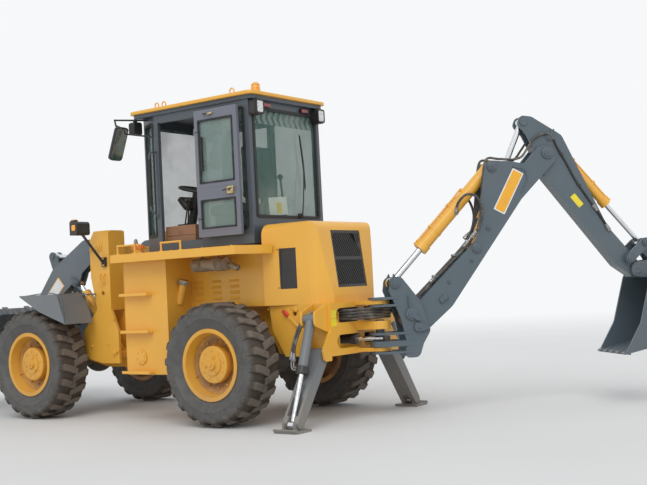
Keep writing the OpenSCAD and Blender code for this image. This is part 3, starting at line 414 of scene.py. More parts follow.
# %% Plated steel and brass
def plated(name, colour, shade, rough=0.34, scale=30.0):
    finish = Finish(name)
    stain = finish.step(finish.noise(scale, 5, 0.6), 0.48, 0.7)
    return finish.surface(finish.between(stain * 0.7, colour, shade), finish.clamp(rough + stain * 0.35),
                          metallic=finish.clamp(0.95 - stain * 0.6), bump=finish.noise(scale * 6, 3),
                          depth=0.0003)


zinc = plated("zinc_plate", (0.36, 0.36, 0.35), (0.16, 0.14, 0.11), 0.42)
brass = plated("brass_lock", (0.62, 0.52, 0.28), (0.30, 0.22, 0.10), 0.3, 60.0)

# %% Hose rubber, seals, lenses and labels
def covered(name, colour, shade, roughness, scale=40.0, depth=0.0004, coat=0.0):
    finish = Finish(name)
    dirt = finish.step(finish.noise(scale * 0.3, 5, 0.65), 0.45, 0.72)
    return finish.surface(finish.between(dirt * 0.75, colour, shade), finish.clamp(roughness + dirt * 0.25),
                          bump=finish.noise(scale * 8, 2), depth=depth, coat=coat)


def silvered():
    """Mirror glass: a clean metal layer with a thin film of dust."""
    finish = Finish("mirror_silver")
    film = finish.step(finish.noise(5, 3), 0.45, 0.75)
    return finish.surface(finish.between(film, (0.62, 0.60, 0.56), (0.38, 0.35, 0.31)),
                          finish.clamp(0.05 + film * 0.12), metallic=finish.clamp(1 - film * 0.4))


mirror_silver = silvered()
hose_rubber = covered("hose_rubber", (0.055, 0.052, 0.048), (0.26, 0.225, 0.18), 0.55, 44.0)
seal_rubber = covered("seal_rubber", (0.016, 0.016, 0.017), (0.06, 0.055, 0.05), 0.6)
pale_lining = covered("pale_lining", (0.74, 0.76, 0.76), (0.52, 0.54, 0.54), 0.7, 90.0)
# This dark lining is painted shade for the set-back half of each fold of the ribbed panel.
fold_shade_lining = covered("painted_fold_shade", (0.05, 0.053, 0.056), (0.035, 0.036, 0.038), 0.7, 90.0)
red_plastic = covered("red_grip", (0.60, 0.03, 0.02), (0.35, 0.06, 0.04), 0.4, 50.0)
orange_plastic = covered("orange_cap", (0.75, 0.20, 0.03), (0.45, 0.16, 0.05), 0.45, 50.0)
label_yellow = covered("yellow_film", (0.88, 0.72, 0.02), (0.62, 0.50, 0.10), 0.35, 30.0)
label_orange = covered("orange_film", (0.86, 0.42, 0.03), (0.74, 0.35, 0.05), 0.35, 30.0)
label_white = covered("white_film", (0.80, 0.80, 0.78), (0.56, 0.53, 0.47), 0.35, 30.0)
label_mint = covered("mint_card", (0.86, 0.95, 0.90), (0.72, 0.84, 0.78), 0.5, 30.0)
exhaust_steel = covered("dusty_exhaust", (0.34, 0.255, 0.165), (0.20, 0.145, 0.095), 0.7, 18.0)
crate_wood = covered("crate_wood", (0.31, 0.16, 0.085), (0.17, 0.09, 0.05), 0.7, 24.0, 0.002)


# A lens can be given a faint glow of its own colour: a painted glow, not a lit lamp.
def lens(name, colour, inner, scale, painted_glow=0.0):
    finish = Finish(name)
    facets = finish.add("TexVoronoi", {"distance": "CHEBYCHEV"}, {"Vector": finish.place, "Scale": scale})
    colour = finish.between(finish.step(facets, 0.1, 0.7), colour, inner)
    return finish.surface(colour, 0.12, bump=facets, depth=0.002, coat=0.6,
                          extra={"Emission Color": colour, "Emission Strength": painted_glow} if painted_glow else None)


lamp_lens = lens("clear_lens", (0.78, 0.79, 0.78), (0.45, 0.46, 0.47), 70.0, 0.08)
red_lens = lens("red_lens", (0.42, 0.03, 0.03), (0.16, 0.012, 0.012), 90.0)
amber_lens = lens("amber_lens", (0.95, 0.44, 0.03), (0.82, 0.30, 0.02), 80.0, 0.08)
print("materials:", len(bpy.data.materials))

# %% [markdown]
# ## Drawing small parts
# A machine's trim is made of few forms: things turned on a lathe, plates with broken edges, bent pipes and
# hoses, and bolts. Each helper below adds one such form to a mesh, at a place given by a matrix. Many parts
# on one body then share one mesh, which keeps the scene light.

# %% Places and finished meshes
def towards(point, direction, above=(0, 0, 1)):
    """A place whose own Z points along a direction and whose own Y points up."""
    out = Vector(direction).normalized()
    across = Vector(above).cross(out)
    if across.length < 1e-4:
        across = Vector((1, 0, 0))
    across.normalize()
    return Matrix.Translation(point) @ Matrix((across, out.cross(across), out)).transposed().to_4x4()


def on_side(side, x, y, z):
    """A place on an upright plate that faces left (side 1) or right (side -1)."""
    return towards((x, side * y, z), (0, side, 0))


def finished(mesh, name, materials, body=None, crease=38):
    """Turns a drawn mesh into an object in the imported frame, riding on a body."""
    bmesh.ops.recalc_face_normals(mesh, faces=mesh.faces[:])
    for face in mesh.faces:
        face.smooth = True
    for edge in mesh.edges:
        edge.smooth = len(edge.link_faces) == 2 and edge.calc_face_angle(0) < math.radians(crease)
    data = bpy.data.meshes.new(name)
    mesh.to_mesh(data)
    mesh.free()
    data.transform(Matrix.Translation(ZERO))
    for material in (materials if isinstance(materials, (list, tuple)) else [materials]):
        data.materials.append(material)
    piece = bpy.data.objects.new(name, data)
    bpy.context.scene.collection.objects.link(piece)
    if body:
        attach(piece, body)
    return piece


# %% Turned parts, plates and borders
def bridge(mesh, rings, material=0, closed=True):
    """Joins rings of vertices into a skin, with both ends filled."""
    made = []
    for low, high in zip(rings, rings[1:]):
        count = max(len(low), len(high))
        for i in range(count if closed else count - 1):
            j = (i + 1) % count
            corners = dict.fromkeys((low[i % len(low)], low[j % len(low)], high[j % len(high)],
                                     high[i % len(high)]))
            if len(corners) > 2:
                made.append(mesh.faces.new(list(corners)))
    for end in (rings[0], rings[-1]):
        if len(end) > 2:
            made.append(mesh.faces.new(end))
    for face in made:
        face.material_index = material


def turned(mesh, place, profile, sides=24, material=0):
    """A lathe form: its profile is a list of (radius, height)."""
    rings = []
    for radius, height in profile:
        count = sides if radius else 1
        rings.append([mesh.verts.new(place @ Vector((radius * math.cos(a), radius * math.sin(a), height)))
                      for a in (math.tau * i / count for i in range(count))])
    bridge(mesh, rings, material)


def inset(outline, depth):
    """The outline moved inwards by depth."""
    area = sum(a[0] * b[1] - b[0] * a[1] for a, b in zip(outline, outline[1:] + outline[:1]))
    side = 1 if area > 0 else -1
    moved = []
    for before, here, after in zip(outline[-1:] + outline[:-1], outline, outline[1:] + outline[:1]):
        come = (Vector(here) - Vector(before)).normalized()
        leave = (Vector(after) - Vector(here)).normalized()
        normal = Vector((-come.y - leave.y, come.x + leave.x)) * side
        moved.append(tuple(Vector(here) + normal * depth / max(0.4, 1 + come.dot(leave))))
    return moved


def rounded(corners, radius, steps=4):
    """An outline whose corners are softened by radius."""
    outline = []
    for before, here, after in zip(corners[-1:] + corners[:-1], corners, corners[1:] + corners[:1]):
        here = Vector(here)
        start, end = Vector(before) - here, Vector(after) - here
        start = here + start.normalized() * min(radius, start.length * 0.48)
        end = here + end.normalized() * min(radius, end.length * 0.48)
        for i in range(steps + 1):
            t = i / steps
            outline.append(tuple((1 - t) ** 2 * start + 2 * t * (1 - t) * here + t * t * end))
    return outline


def rectangle(width, height, radius=0.0):
    corners = [(-width / 2, -height / 2), (width / 2, -height / 2), (width / 2, height / 2),
               (-width / 2, height / 2)]
    return rounded(corners, radius) if radius else corners


def slab(mesh, place, outline, low, high, edge=0.002, material=0):
    """A plate with a broken edge on its outer face."""
    rings = [[mesh.verts.new(place @ Vector((x, y, z))) for x, y in ring]
             for ring, z in ((outline, low), (outline, high - edge), (inset(outline, edge), high))]
    bridge(mesh, rings, material)


def border(mesh, place, outline, width, low, high, material=0):
    """A flat ring that follows an outline, such as a seal round a pane."""
    inner = inset(outline, width)
    rings = [[mesh.verts.new(place @ Vector((x, y, z))) for x, y in ring]
             for ring, z in ((outline, low), (outline, high), (inner, high), (inner, low))]
    for first, second in zip(rings, rings[1:] + rings[:1]):
        for i in range(len(outline)):
            j = (i + 1) % len(outline)
            mesh.faces.new((first[i], first[j], second[j], second[i])).material_index = material


# %% [markdown]
# ## Hoses and pipes
# Hydraulic hoses leave their fittings straight and bend in wide arcs, because a tight bend cracks them. A
# hose here is a soft curve through a few points, swept with a round section, and each end gets the crimped
# metal sleeve and the hexagon of its fitting. A bent rod is the same curve with bare ends.

# %% Hoses, pipes and bolts
def soft_path(points, steps=7):
    """A smooth curve through the given points."""
    ends = [2 * points[0] - points[1], *points, 2 * points[-1] - points[-2]]
    path = []
    for a, b, c, d in zip(ends, ends[1:], ends[2:], ends[3:]):
        for i in range(steps):
            t = i / steps
            path.append(0.5 * (2 * b + (c - a) * t + (2 * a - 5 * b + 4 * c - d) * t * t
                               + (3 * b - a - 3 * c + d) * t ** 3))
    return path + [points[-1]]


def hose(mesh, points, radius, sides=10, fittings=True, material=0, metal=1):
    """A round section swept along a soft curve."""
    path = soft_path([Vector(p) for p in points])
    heading = (path[1] - path[0]).normalized()
    across = heading.orthogonal().normalized()
    rings = []
    for before, here, after in zip(path[:1] + path[:-1], path, path[1:] + path[-1:]):
        new = (after - before).normalized()
        across = (across - new * across.dot(new)).normalized()
        up_side = new.cross(across)
        rings.append([mesh.verts.new(here + radius * (math.cos(a) * across + math.sin(a) * up_side))
                      for a in (math.tau * i / sides for i in range(sides))])
    bridge(mesh, rings, material)
    if fittings:
        for end, inner in ((path[0], path[1]), (path[-1], path[-2])):
            place, r = towards(end, inner - end), radius
            turned(mesh, place, [(r * 1.1, -r), (r * 1.1, 0), (r * 1.55, 0), (r * 1.55, r * 2.2),
                                 (r * 1.3, r * 2.5), (r * 1.3, r * 4.4), (r * 1.02, r * 4.6)], 12, metal)
            turned(mesh, place, [(r * 1.2, -r * 1.6), (r * 1.75, -r * 1.5), (r * 1.75, -r * 0.1),
                                 (r * 1.2, 0)], 6, metal)


def rod(mesh, points, radius, material=0):
    """A bent rod or thin pipe with bare ends."""
    hose(mesh, points, radius, 8, False, material)


def bolt(mesh, place, size, material=0):
    """A washer and a hexagon head with a broken edge. Size is the thread's diameter."""
    turned(mesh, place, [(size * 1.05, -0.001), (size * 1.05, size * 0.14), (size * 0.95, size * 0.2)],
           14, material)
    turned(mesh, place, [(size * 0.9, size * 0.1), (size * 0.92, size * 0.72),
                         (size * 0.78, size * 0.86)], 6, material)


def on_hoe(radius, height, across=0.0):
    """A point in the hoe's own plane: radius from the swing axis, height and sideways place."""
    return HOE @ Vector((radius, across, height))


print("helpers ready: turned, slab, border, hose, bolt")

# %% [markdown]
# ## Tyres
# Loader tyres carry two rows of deep lugs that lean towards the middle, half a pitch apart. Their edges are
# worn round and soil is packed between them. The solid model has flat facets, so each tyre is drawn again
# with a smooth wall, moulded rings and lugs whose edges are broken, over the same outline.

# %% One tyre
LUGS = 22
TYRE_RADIUS = 0.5795
LUG_BEND = 0.155  # half width at which a lug leaves the tread and runs down the shoulder
WALL = [(0.3065, 0.150), (0.322, 0.1575), (0.342, 0.158), (0.347, 0.163), (0.352, 0.160), (0.39, 0.181),
        (0.43, 0.1955), (0.434, 0.199), (0.441, 0.199), (0.445, 0.1965), (0.47, 0.2015), (0.50, 0.2005),
        (0.523, 0.190), (0.536, 0.174), (0.544, 0.152)]
LUG_STATIONS = [(0.578, -0.022), (0.578, 0.03), (0.578, 0.08), (0.578, 0.125), (0.577, 0.152),
                (0.568, 0.168), (0.553, 0.185), (0.537, 0.1995), (0.515, 0.2035), (0.496, 0.2015)]
LUG_SECTION = [(-0.042, -1.0), (-0.037, -0.30), (-0.034, -0.06), (-0.028, 0.0), (-0.012, 0.0), (0.012, 0.0),
               (0.028, 0.0), (0.034, -0.06), (0.037, -0.30), (0.042, -1.0)]


def tyre(name, side, body, node):
    """A tyre with its origin on the axle."""
    mesh = bmesh.new()
    rings = 144
    profile = WALL + [(0.545, y) for y in (0.12, 0.08, 0.04, 0.0)]
    profile += [(r, -y) for r, y in reversed(profile[:-1])]
    loops = []
    for k in range(rings):
        angle = math.tau * k / rings
        loop = []
        for r, y in profile:
            point = Vector((math.cos(angle) * r, y, math.sin(angle) * r))
            if r > 0.53:
                point *= 1 + 0.018 * max(0.0, noise.noise(point * 11) + 0.15)
            loop.append(mesh.verts.new(point))
        loops.append(loop)
    for k in range(rings):
        low, high = loops[k], loops[(k + 1) % rings]
        for i in range(len(profile) - 1):
            mesh.faces.new((low[i], low[i + 1], high[i + 1], high[i]))
    for half in (1, -1):
        for k in range(LUGS):
            base = (k + half / 4) * math.tau / LUGS
            skin = []
            for station, (r, y) in enumerate(LUG_STATIONS):
                along = station / (len(LUG_STATIONS) - 1)
                lean = 0.046 - 0.056 * min(1.0, max(0.0, (y + 0.02) / 0.15)) ** 0.9
                ring = []
                for t, h in LUG_SECTION:
                    depth = -h * (0.035 if y < LUG_BEND else 0.02)
                    swell = 0.004 * noise.noise(Vector((base * 9 + t * 20, y * 25 * half, 3.1 * side)))
                    rr = r - (depth if y < LUG_BEND else depth * 0.6) - 0.003 + swell * (h > -0.5)
                    yy = y - (0.0 if y < LUG_BEND else depth * 0.8)
                    angle = base + side * (t * (1.0 if y < LUG_BEND else 0.86) + lean) / 0.56
                    ring.append(mesh.verts.new((math.cos(angle) * rr, half * yy, math.sin(angle) * rr)))
                skin.append(ring)
            bridge(mesh, skin, closed=False)
    for vert in mesh.verts:
        length = math.hypot(vert.co.x, vert.co.z)
        if length > TYRE_RADIUS:
            vert.co.x *= TYRE_RADIUS / length
            vert.co.z *= TYRE_RADIUS / length
    low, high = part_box(node)
    centre = (Vector(low) + Vector(high)) / 2
    piece = finished(mesh, name, tyre_rubber, None, 50)
    piece.data.transform(Matrix.Translation(-ZERO))
    piece.location = centre
    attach(piece, body)
    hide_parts(node)
    return piece


for end in ("rear", "front"):
    for side_name, side in (("left", 1), ("right", -1)):
        made = tyre(f"moulded_tyre_{end}_{side_name}", side, f"wheel_{end}_{side_name}",
                    f"tyre_{end}_{side_name}")
print("triangles in a tyre:", sum(len(p.vertices) - 2 for p in made.data.polygons))

# %% [markdown]
# ## Wheel bolts
# The planet gears sit in a round cover in the middle of each wheel. It has a ring of small bolts, three
# larger plugs and a filler plug, and round it lie the nuts that hold the rim.

# %% Hub covers
COVER_BOLTS, GEAR_PLUGS, RIM_NUTS = 9, 3, 12


def hub(end, side_name, side):
    mesh = bmesh.new()
    low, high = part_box(f"rim_{end}_{side_name}")
    centre = (Vector(low) + Vector(high)) / 2 - ZERO
    centre.y = side * 0.825
    place = towards(centre, (0, side, 0))

    def spot(radius, degrees, height):
        a = math.radians(degrees)
        return place @ at(radius * math.cos(a), radius * math.sin(a), height)

    for k in range(COVER_BOLTS):
        bolt(mesh, spot(0.134, 360 / COVER_BOLTS * k + 12, 0.116), 0.009)
    for k in range(GEAR_PLUGS):
        turned(mesh, spot(0.079, 360 / GEAR_PLUGS * k + 70, 0.1275),
               [(0.017, 0), (0.017, 0.007), (0.014, 0.009), (0.009, 0.009), (0.008, 0.004), (0, 0.004)],
               14)
    turned(mesh, spot(0.0, 0, 0.149), [(0.019, 0), (0.018, 0.012), (0, 0.013)], 6)
    turned(mesh, spot(0.0, 0, 0.1155), [(0.172, -0.02), (0.1735, -0.012), (0.1735, -0.004),
                                        (0.170, -0.002)], 48)
    for k in range(RIM_NUTS):
        bolt(mesh, spot(0.222, 360 / RIM_NUTS * k, 0.043), 0.015)
    turned(mesh, spot(0.262, 205, 0.06), [(0.006, -0.01), (0.006, 0.03), (0.0045, 0.032),
                                          (0.0045, 0.045), (0, 0.046)], 8)
    return finished(mesh, f"hub_bolts_{end}_{side_name}", rim_paint, f"wheel_{end}_{side_name}")


for end in ("rear", "front"):
    for side_name, side in (("left", 1), ("right", -1)):
        hub(end, side_name, side)

# %% [markdown]
# ## Pins and their keepers
# Every hinge of the hoe and the loader turns on a steel pin. A keeper plate, held by one bolt, stops the
# pin from walking out, and a nipple in the middle takes the grease gun. Two tables list them, one for the
# hoe and one for the loader.

# %% Hinge pins
def pin_end(mesh, point, direction, radius, keeper=None):
    """The visible end of a pin: collar, rounded end, nipple, and a keeper plate at an angle.

    A flush pin has only a thin washer, where hoses pass close by."""
    place, r = towards(point, direction), radius
    if keeper == "flush":
        turned(mesh, place, [(r * 1.5, -0.002), (r * 1.5, 0.001), (r * 1.4, 0.002), (r * 0.3, 0.002),
                             (r * 0.2, 0.001)], 28)
        return
    turned(mesh, place, [(r * 1.55, -0.002), (r * 1.55, 0.007), (r * 1.45, 0.009), (r * 1.05, 0.009)], 28)
    turned(mesh, place, [(r, 0.0), (r, 0.016), (r * 0.86, 0.020), (r * 0.2, 0.020), (r * 0.16, 0.031),
                         (0, 0.033)], 24, 1)
    if keeper is not None:
        turn = place @ spun(keeper)
        slab(mesh, turn, rounded([(r * 0.35, -r * 0.42), (r * 1.8, -r * 0.62), (r * 3.3, 0),
                                  (r * 1.8, r * 0.62), (r * 0.35, r * 0.42)], r * 0.5), 0.009, 0.021,
             0.002)
        bolt(mesh, turn @ at(r * 2.35, 0, 0.021), r * 0.34, 1)


LEFT_OF_HOE, RIGHT_OF_HOE = HOE.to_3x3() @ Vector((0, 1, 0)), HOE.to_3x3() @ Vector((0, -1, 0))
HOE_PINS = [  # body, radius from the swing axis, height, half width outside, pin radius, keeper's angle
    ("swing_post", 0.270, 0.960, 0.165, 0.035, -40), ("swing_post", 0.130, 1.250, 0.160, 0.030, 100),
    ("boom", 1.130, 2.300, 0.118, 0.030, None), ("boom", 0.940, 1.540, 0.118, 0.030, None),
    ("dipper", 1.685, 2.412, 0.118, 0.035, None), ("dipper", 1.730, 2.570, 0.080, 0.028, 60),
    ("dipper", 2.440, 1.370, 0.146, 0.025, None), ("dipper", 1.480, 2.720, 0.088, 0.025, "flush"),
    ("rocker", 2.610, 1.520, 0.146, 0.025, None), ("hoe_bucket", 2.520, 1.260, 0.114, 0.030, "flush"),
    ("hoe_bucket", 2.747, 1.300, 0.114, 0.025, "flush"),
]
LOADER_PINS = [  # body, x, height, outer face on the left, pin radius, keeper's angle
    ("front", 1.900, 1.800, 0.575, 0.040, 200), ("front", 1.720, 0.660, 0.570, 0.025, 20),
    ("lift_arms", 2.344, 1.427, 0.520, 0.030, 120), ("loader_bucket", 3.860, 0.600, 0.535, 0.035, 90),
]
meshes = {}
for body, r, z, half, radius, keeper in HOE_PINS:
    mesh = meshes.setdefault(body, bmesh.new())
    pin_end(mesh, on_hoe(r, z, -half), RIGHT_OF_HOE, radius, keeper)
    pin_end(mesh, on_hoe(r, z, half), LEFT_OF_HOE, radius, keeper)
for body, x, z, half, radius, keeper in LOADER_PINS:
    mesh = meshes.setdefault(body, bmesh.new())
    for side in (1, -1):
        pin_end(mesh, (x, side * half, z), (0, side, 0), radius, keeper)
for body, mesh in meshes.items():
    finished(mesh, f"pin_ends_{body}", [yellow_paint if body == "front" else grey_paint] * 2, body)

# %% [markdown]
# ## Hoses of the hoe
# The oil reaches the hoe through hoses that leave the rear plate, pass the swing post and climb the boom.
# Where a hose crosses a hinge, it is one mesh that rides on no body and stays where it is drawn.

# %% Hoses over the swing axis and up the boom
HOSE_ROWS = (-0.054, -0.018, 0.018, 0.054)
BOOM_RISE = 43  # degrees, of the boom's foot above the level
mesh = bmesh.new()
for k, row in enumerate(HOSE_ROWS):
    z = 1.028 - 0.027 * k
    rod(mesh, [(-0.86, 0.30 - 0.02 * k, z), (-0.98, 0.30 - 0.02 * k, z),
               (-1.10, 0.26 - 0.015 * k, z - 0.004), (-1.20, 0.17, z), (-1.29, 0.02 + row * 0.4, z),
               on_hoe(0.11, z - 0.002, row)], 0.0125)
swing_hoses = finished(mesh, "swing_hoses", [hose_rubber, zinc])
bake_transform(swing_hoses)

mesh = bmesh.new()
for row in HOSE_ROWS:
    rod(mesh, [on_hoe(0.11, 0.985, row), on_hoe(0.14, 1.035, row), on_hoe(0.20, 1.070, row),
               on_hoe(0.30, 1.082, row), on_hoe(0.38, 1.125, row), on_hoe(0.45, 1.187, row),
               on_hoe(0.52, 1.252, row)], 0.0125)
foot_hoses = finished(mesh, "boom_foot_hoses", [hose_rubber, zinc])
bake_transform(foot_hoses)

mesh = bmesh.new()
for row in HOSE_ROWS:
    hose(mesh, [on_hoe(0.52, 1.252, row), on_hoe(0.60, 1.325, row), on_hoe(0.70, 1.418, row * 1.1),
                on_hoe(0.82, 1.531, row * 1.25), on_hoe(0.885, 1.600, row * 1.35)], 0.0125, 8,
         abs(row) < 0.03)
for s in (-0.098, 0.098):
    rod(mesh, [on_hoe(0.885, 1.600, s * 0.74), on_hoe(0.945, 1.68, s), on_hoe(0.985, 1.80, s),
               on_hoe(1.015, 2.0, s), on_hoe(1.04, 2.2, s * 1.02), on_hoe(1.085, 2.372, s * 1.03),
               on_hoe(1.20, 2.372, s * 1.06), on_hoe(1.34, 2.36, s * 1.06)], 0.0115)
for r, z in ((0.56, 1.285), (0.76, 1.474)):
    place = HOE @ at(r, 0, z) @ Matrix.Rotation(math.radians(-BOOM_RISE), 4, "Y")
    slab(mesh, place, rectangle(0.028, 0.17, 0.008), 0.006, 0.022, 0.003, 2)
    for s in (-0.074, 0.074):
        bolt(mesh, place @ at(0, s, 0.022), 0.007, 2)
finished(mesh, "boom_hoses", [hose_rubber, zinc, grey_paint], "boom")

# %% Hoses from the boom to its cylinder and to the dipper
mesh = bmesh.new()
for s, spread in ((-1, 0.0), (1, 0.02)):
    hose(mesh, [on_hoe(0.775, 1.885, s * 0.052), on_hoe(0.790, 1.975, s * 0.10),
                on_hoe(0.865, 2.045, s * 0.135), on_hoe(0.960, 2.015, s * 0.145),
                on_hoe(1.005, 1.895 - spread, s * 0.14), on_hoe(0.972, 1.745 - spread, s * 0.128),
                on_hoe(0.905, 1.655, s * 0.118)], 0.0125, 10)
cap_hoses = finished(mesh, "boom_cylinder_hoses", [hose_rubber, zinc])
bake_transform(cap_hoses)

mesh = bmesh.new()
for s in (-0.098, 0.098):
    rod(mesh, [on_hoe(1.34, 2.36, s * 1.06), on_hoe(1.43, 2.385, s * 1.04), on_hoe(1.50, 2.47, s),
               on_hoe(1.575, 2.56, s * 0.965), on_hoe(1.68, 2.60, s * 0.95),
               on_hoe(1.765, 2.545, s * 0.93)], 0.0115)
head_hoses = finished(mesh, "boom_head_hoses", [hose_rubber, zinc])
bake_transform(head_hoses)

mesh = bmesh.new()
for s in (-0.091, 0.091):
    rod(mesh, [on_hoe(1.765, 2.545, s), on_hoe(1.80, 2.46, s), on_hoe(1.88, 2.31, s),
               on_hoe(1.96, 2.147, s), on_hoe(2.06, 1.99, s), on_hoe(2.152, 1.851, s)], 0.009)
    hose(mesh, [on_hoe(2.13, 1.888, s), on_hoe(2.17, 1.825, s), on_hoe(2.22, 1.742, s),
                on_hoe(2.262, 1.668, s)], 0.0115, 8)
    for r, z in ((1.83, 2.405), (1.99, 2.10)):
        place = towards(on_hoe(r, z, s * 0.88), LEFT_OF_HOE * s)
        slab(mesh, place @ spun(62), rectangle(0.022, 0.036, 0.006), 0.0, 0.018, 0.003, 0)
finished(mesh, "dipper_pipes", [black_paint, zinc], "dipper")

# %% [markdown]
# ## Steel pipes along the cylinders
# A cylinder needs oil at both ends. The far end is fed by a steel pipe that lies along the barrel, held by
# three clamps, and it is painted with the barrel.

# %% Cylinder pipes
PIPE_GAP = 0.0105


def barrel_pipe(name, body, start, end, radius, reach, ports, side=1.0):
    """A pipe beside a barrel, from its far port back to its base. Points lie in the hoe's plane."""
    mesh = bmesh.new()
    start, end = Vector(start), Vector(end)
    along = (end - start).normalized()
    outwards = Vector((along.y, -along.x)) * side
    gap = radius + PIPE_GAP

    def spot(distance, offset, across=0.0):
        point = start + along * distance + outwards * offset
        return on_hoe(point.x, point.y, across)

    near, far = ports
    rod(mesh, [spot(near, radius * 0.9), spot(near, gap), spot(near + 0.03, gap + 0.004),
               spot(near + 0.1, gap)], 0.009)
    rod(mesh, [spot(near + 0.1, gap), spot((near + far) / 2, gap), spot(far - 0.05, gap),
               spot(far - 0.01, gap * 0.98), spot(far, radius * 0.9)], 0.009)
    for distance in (near, far):
        turned(mesh, towards(spot(distance, radius * 0.8), spot(distance, 1) - spot(distance, 0)),
               [(0.020, 0), (0.020, 0.022), (0.017, 0.025), (0.010, 0.025)], 12)
        turned(mesh, towards(spot(distance, radius * 0.95, 0.0), spot(distance, 1) - spot(distance, 0)),
               [(0.015, 0.0), (0.0155, 0.022), (0.012, 0.024)], 6)
    for distance in (near + (far - near) * 0.3, near + (far - near) * 0.72, reach - 0.02):
        place = towards(spot(distance, 0), spot(distance + 1, 0) - spot(distance, 0))
        turned(mesh, place, [(radius + 0.001, -0.012), (radius + 0.004, -0.011), (radius + 0.004, 0.011),
                             (radius + 0.001, 0.012)], 28)
        slab(mesh, towards(spot(distance, radius), spot(distance, 1) - spot(distance, 0)),
             rectangle(0.045, 0.026, 0.006), 0.0, 0.022, 0.003)
    finished(mesh, name, yellow_paint, body)


barrel_pipe("boom_cylinder_pipe", "boom_barrel", (1.13, 2.30), (0.13, 1.25), 0.060, 1.03, (0.34, 0.98))
barrel_pipe("bucket_cylinder_pipe", "scoop_barrel", (1.73, 2.57), (2.61, 1.52), 0.044, 0.87,
            (0.12, 0.82), -1.0)
barrel_pipe("dipper_cylinder_pipe", "dipper_barrel", (0.94, 1.54), (1.48, 2.72), 0.055, 0.70,
            (0.30, 0.66), -1.0)

# %% [markdown]
# ## The rear plate
# Round the stabilizers the real machine shows a lever with a red grip, a round cap, a row of bolts, yellow
# labels and the hoses of the leg's cylinder, with bent steel elbows at the port. Every label stays blank.

# %% Leg hoses, lever, labels and blank plates
def leg_hoses(side_name, side):
    mesh = bmesh.new()
    for k in (0, 1):
        shift = 0.028 * k
        hose(mesh, [(-0.875 + shift, side * 0.56, 1.02), (-0.868 + shift, side * 0.64, 0.96),
                    (-0.85 + shift, side * 0.715, 0.84), (-0.838 + shift, side * 0.765, 0.72),
                    (-0.836 + shift, side * 0.782, 0.62 + 0.012 * k)], 0.0115, 10)
        rod(mesh, [(-0.836 + shift, side * 0.783, 0.60 + 0.012 * k),
                   (-0.836 + shift, side * 0.787, 0.565),
                   (-0.842 + shift * 0.6, side * 0.792, 0.548 - 0.02 * k),
                   (-0.90, side * 0.797, 0.545 - 0.02 * k)], 0.0085, 1)
    turned(mesh, towards((-0.905, side * 0.797, 0.535), (1, 0, 0)),
           [(0.026, -0.01), (0.026, 0.012), (0.020, 0.016), (0, 0.016)], 12, 1)
    piece = finished(mesh, f"leg_hoses_{side_name}", [hose_rubber, zinc])
    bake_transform(piece)


for side_name, side in (("left", 1), ("right", -1)):
    leg_hoses(side_name, side)
    mesh = bmesh.new()
    base, foot = Vector((-0.94, side * 0.64, 0.97)), Vector((-0.94, side * 0.98, 0.06))
    gland = towards(base + (foot - base).normalized() * 0.51, foot - base)
    turned(mesh, gland, [(0.052, -0.068), (0.0555, -0.066), (0.0555, -0.004), (0.050, 0.003),
                         (0.030, 0.003)], 32)
    finished(mesh, f"leg_gland_{side_name}", black_paint, f"leg_barrel_{side_name}")

mesh = bmesh.new()
grip = bmesh.new()
for side in (1, -1):
    place = on_side(side, -0.635, 0.506, 0.945)
    lean = place @ spun(47 * side)
    slab(mesh, lean, rectangle(0.032, 0.150, 0.012), 0.0, 0.010, 0.003)
    bolt(mesh, lean @ at(0, -0.055, 0.010), 0.010)
    slab(grip, lean @ at(0, 0.112, 0.012), rectangle(0.030, 0.080, 0.013), -0.012, 0.014, 0.005)
    turned(mesh, on_side(side, -0.669, 0.505, 1.052),
           [(0.022, 0), (0.022, 0.006), (0.018, 0.009), (0, 0.009)], 20)
    for k in range(4):
        bolt(mesh, on_side(side, -0.62 + 0.28 * k, 0.504, 1.065), 0.009)
finished(mesh, "rear_plate_trim", yellow_paint, "rear")
finished(grip, "lever_grips", red_plastic, "rear")

mesh = bmesh.new()
for y, z, w, h in ((0.454, 1.000, 0.078, 0.070), (0.454, 0.923, 0.078, 0.070),
                   (-0.454, 0.96, 0.070, 0.072)):
    slab(mesh, towards((-1.0605, y, z), (-1, 0, 0)), rectangle(w, h, 0.006), 0.0, 0.0022, 0.0006)
finished(mesh, "rear_labels", label_yellow, "rear")

mesh = bmesh.new()
slab(mesh, towards(on_hoe(1.965, 1.95, -0.0805), RIGHT_OF_HOE) @ spun(-52),
     rectangle(0.135, 0.058, 0.006), 0.0, 0.0022, 0.0006)
slab(mesh, towards(on_hoe(1.965, 1.95, 0.0805), LEFT_OF_HOE) @ spun(52),
     rectangle(0.135, 0.058, 0.006), 0.0, 0.0022, 0.0006)
finished(mesh, "dipper_labels", label_yellow, "dipper")

mesh = bmesh.new()
for across, outwards, lean in ((-0.1105, RIGHT_OF_HOE, 61), (0.1105, LEFT_OF_HOE, -61)):
    place = towards(on_hoe(1.283, 2.062, across), outwards) @ spun(lean)
    slab(mesh, place, rectangle(0.435, 0.118, 0.010), 0.0, 0.0018, 0.0005, 1)
    slab(mesh, place, rectangle(0.412, 0.096, 0.008), 0.0012, 0.0028, 0.0005, 0)
finished(mesh, "boom_plates", [label_orange, label_white], "boom")

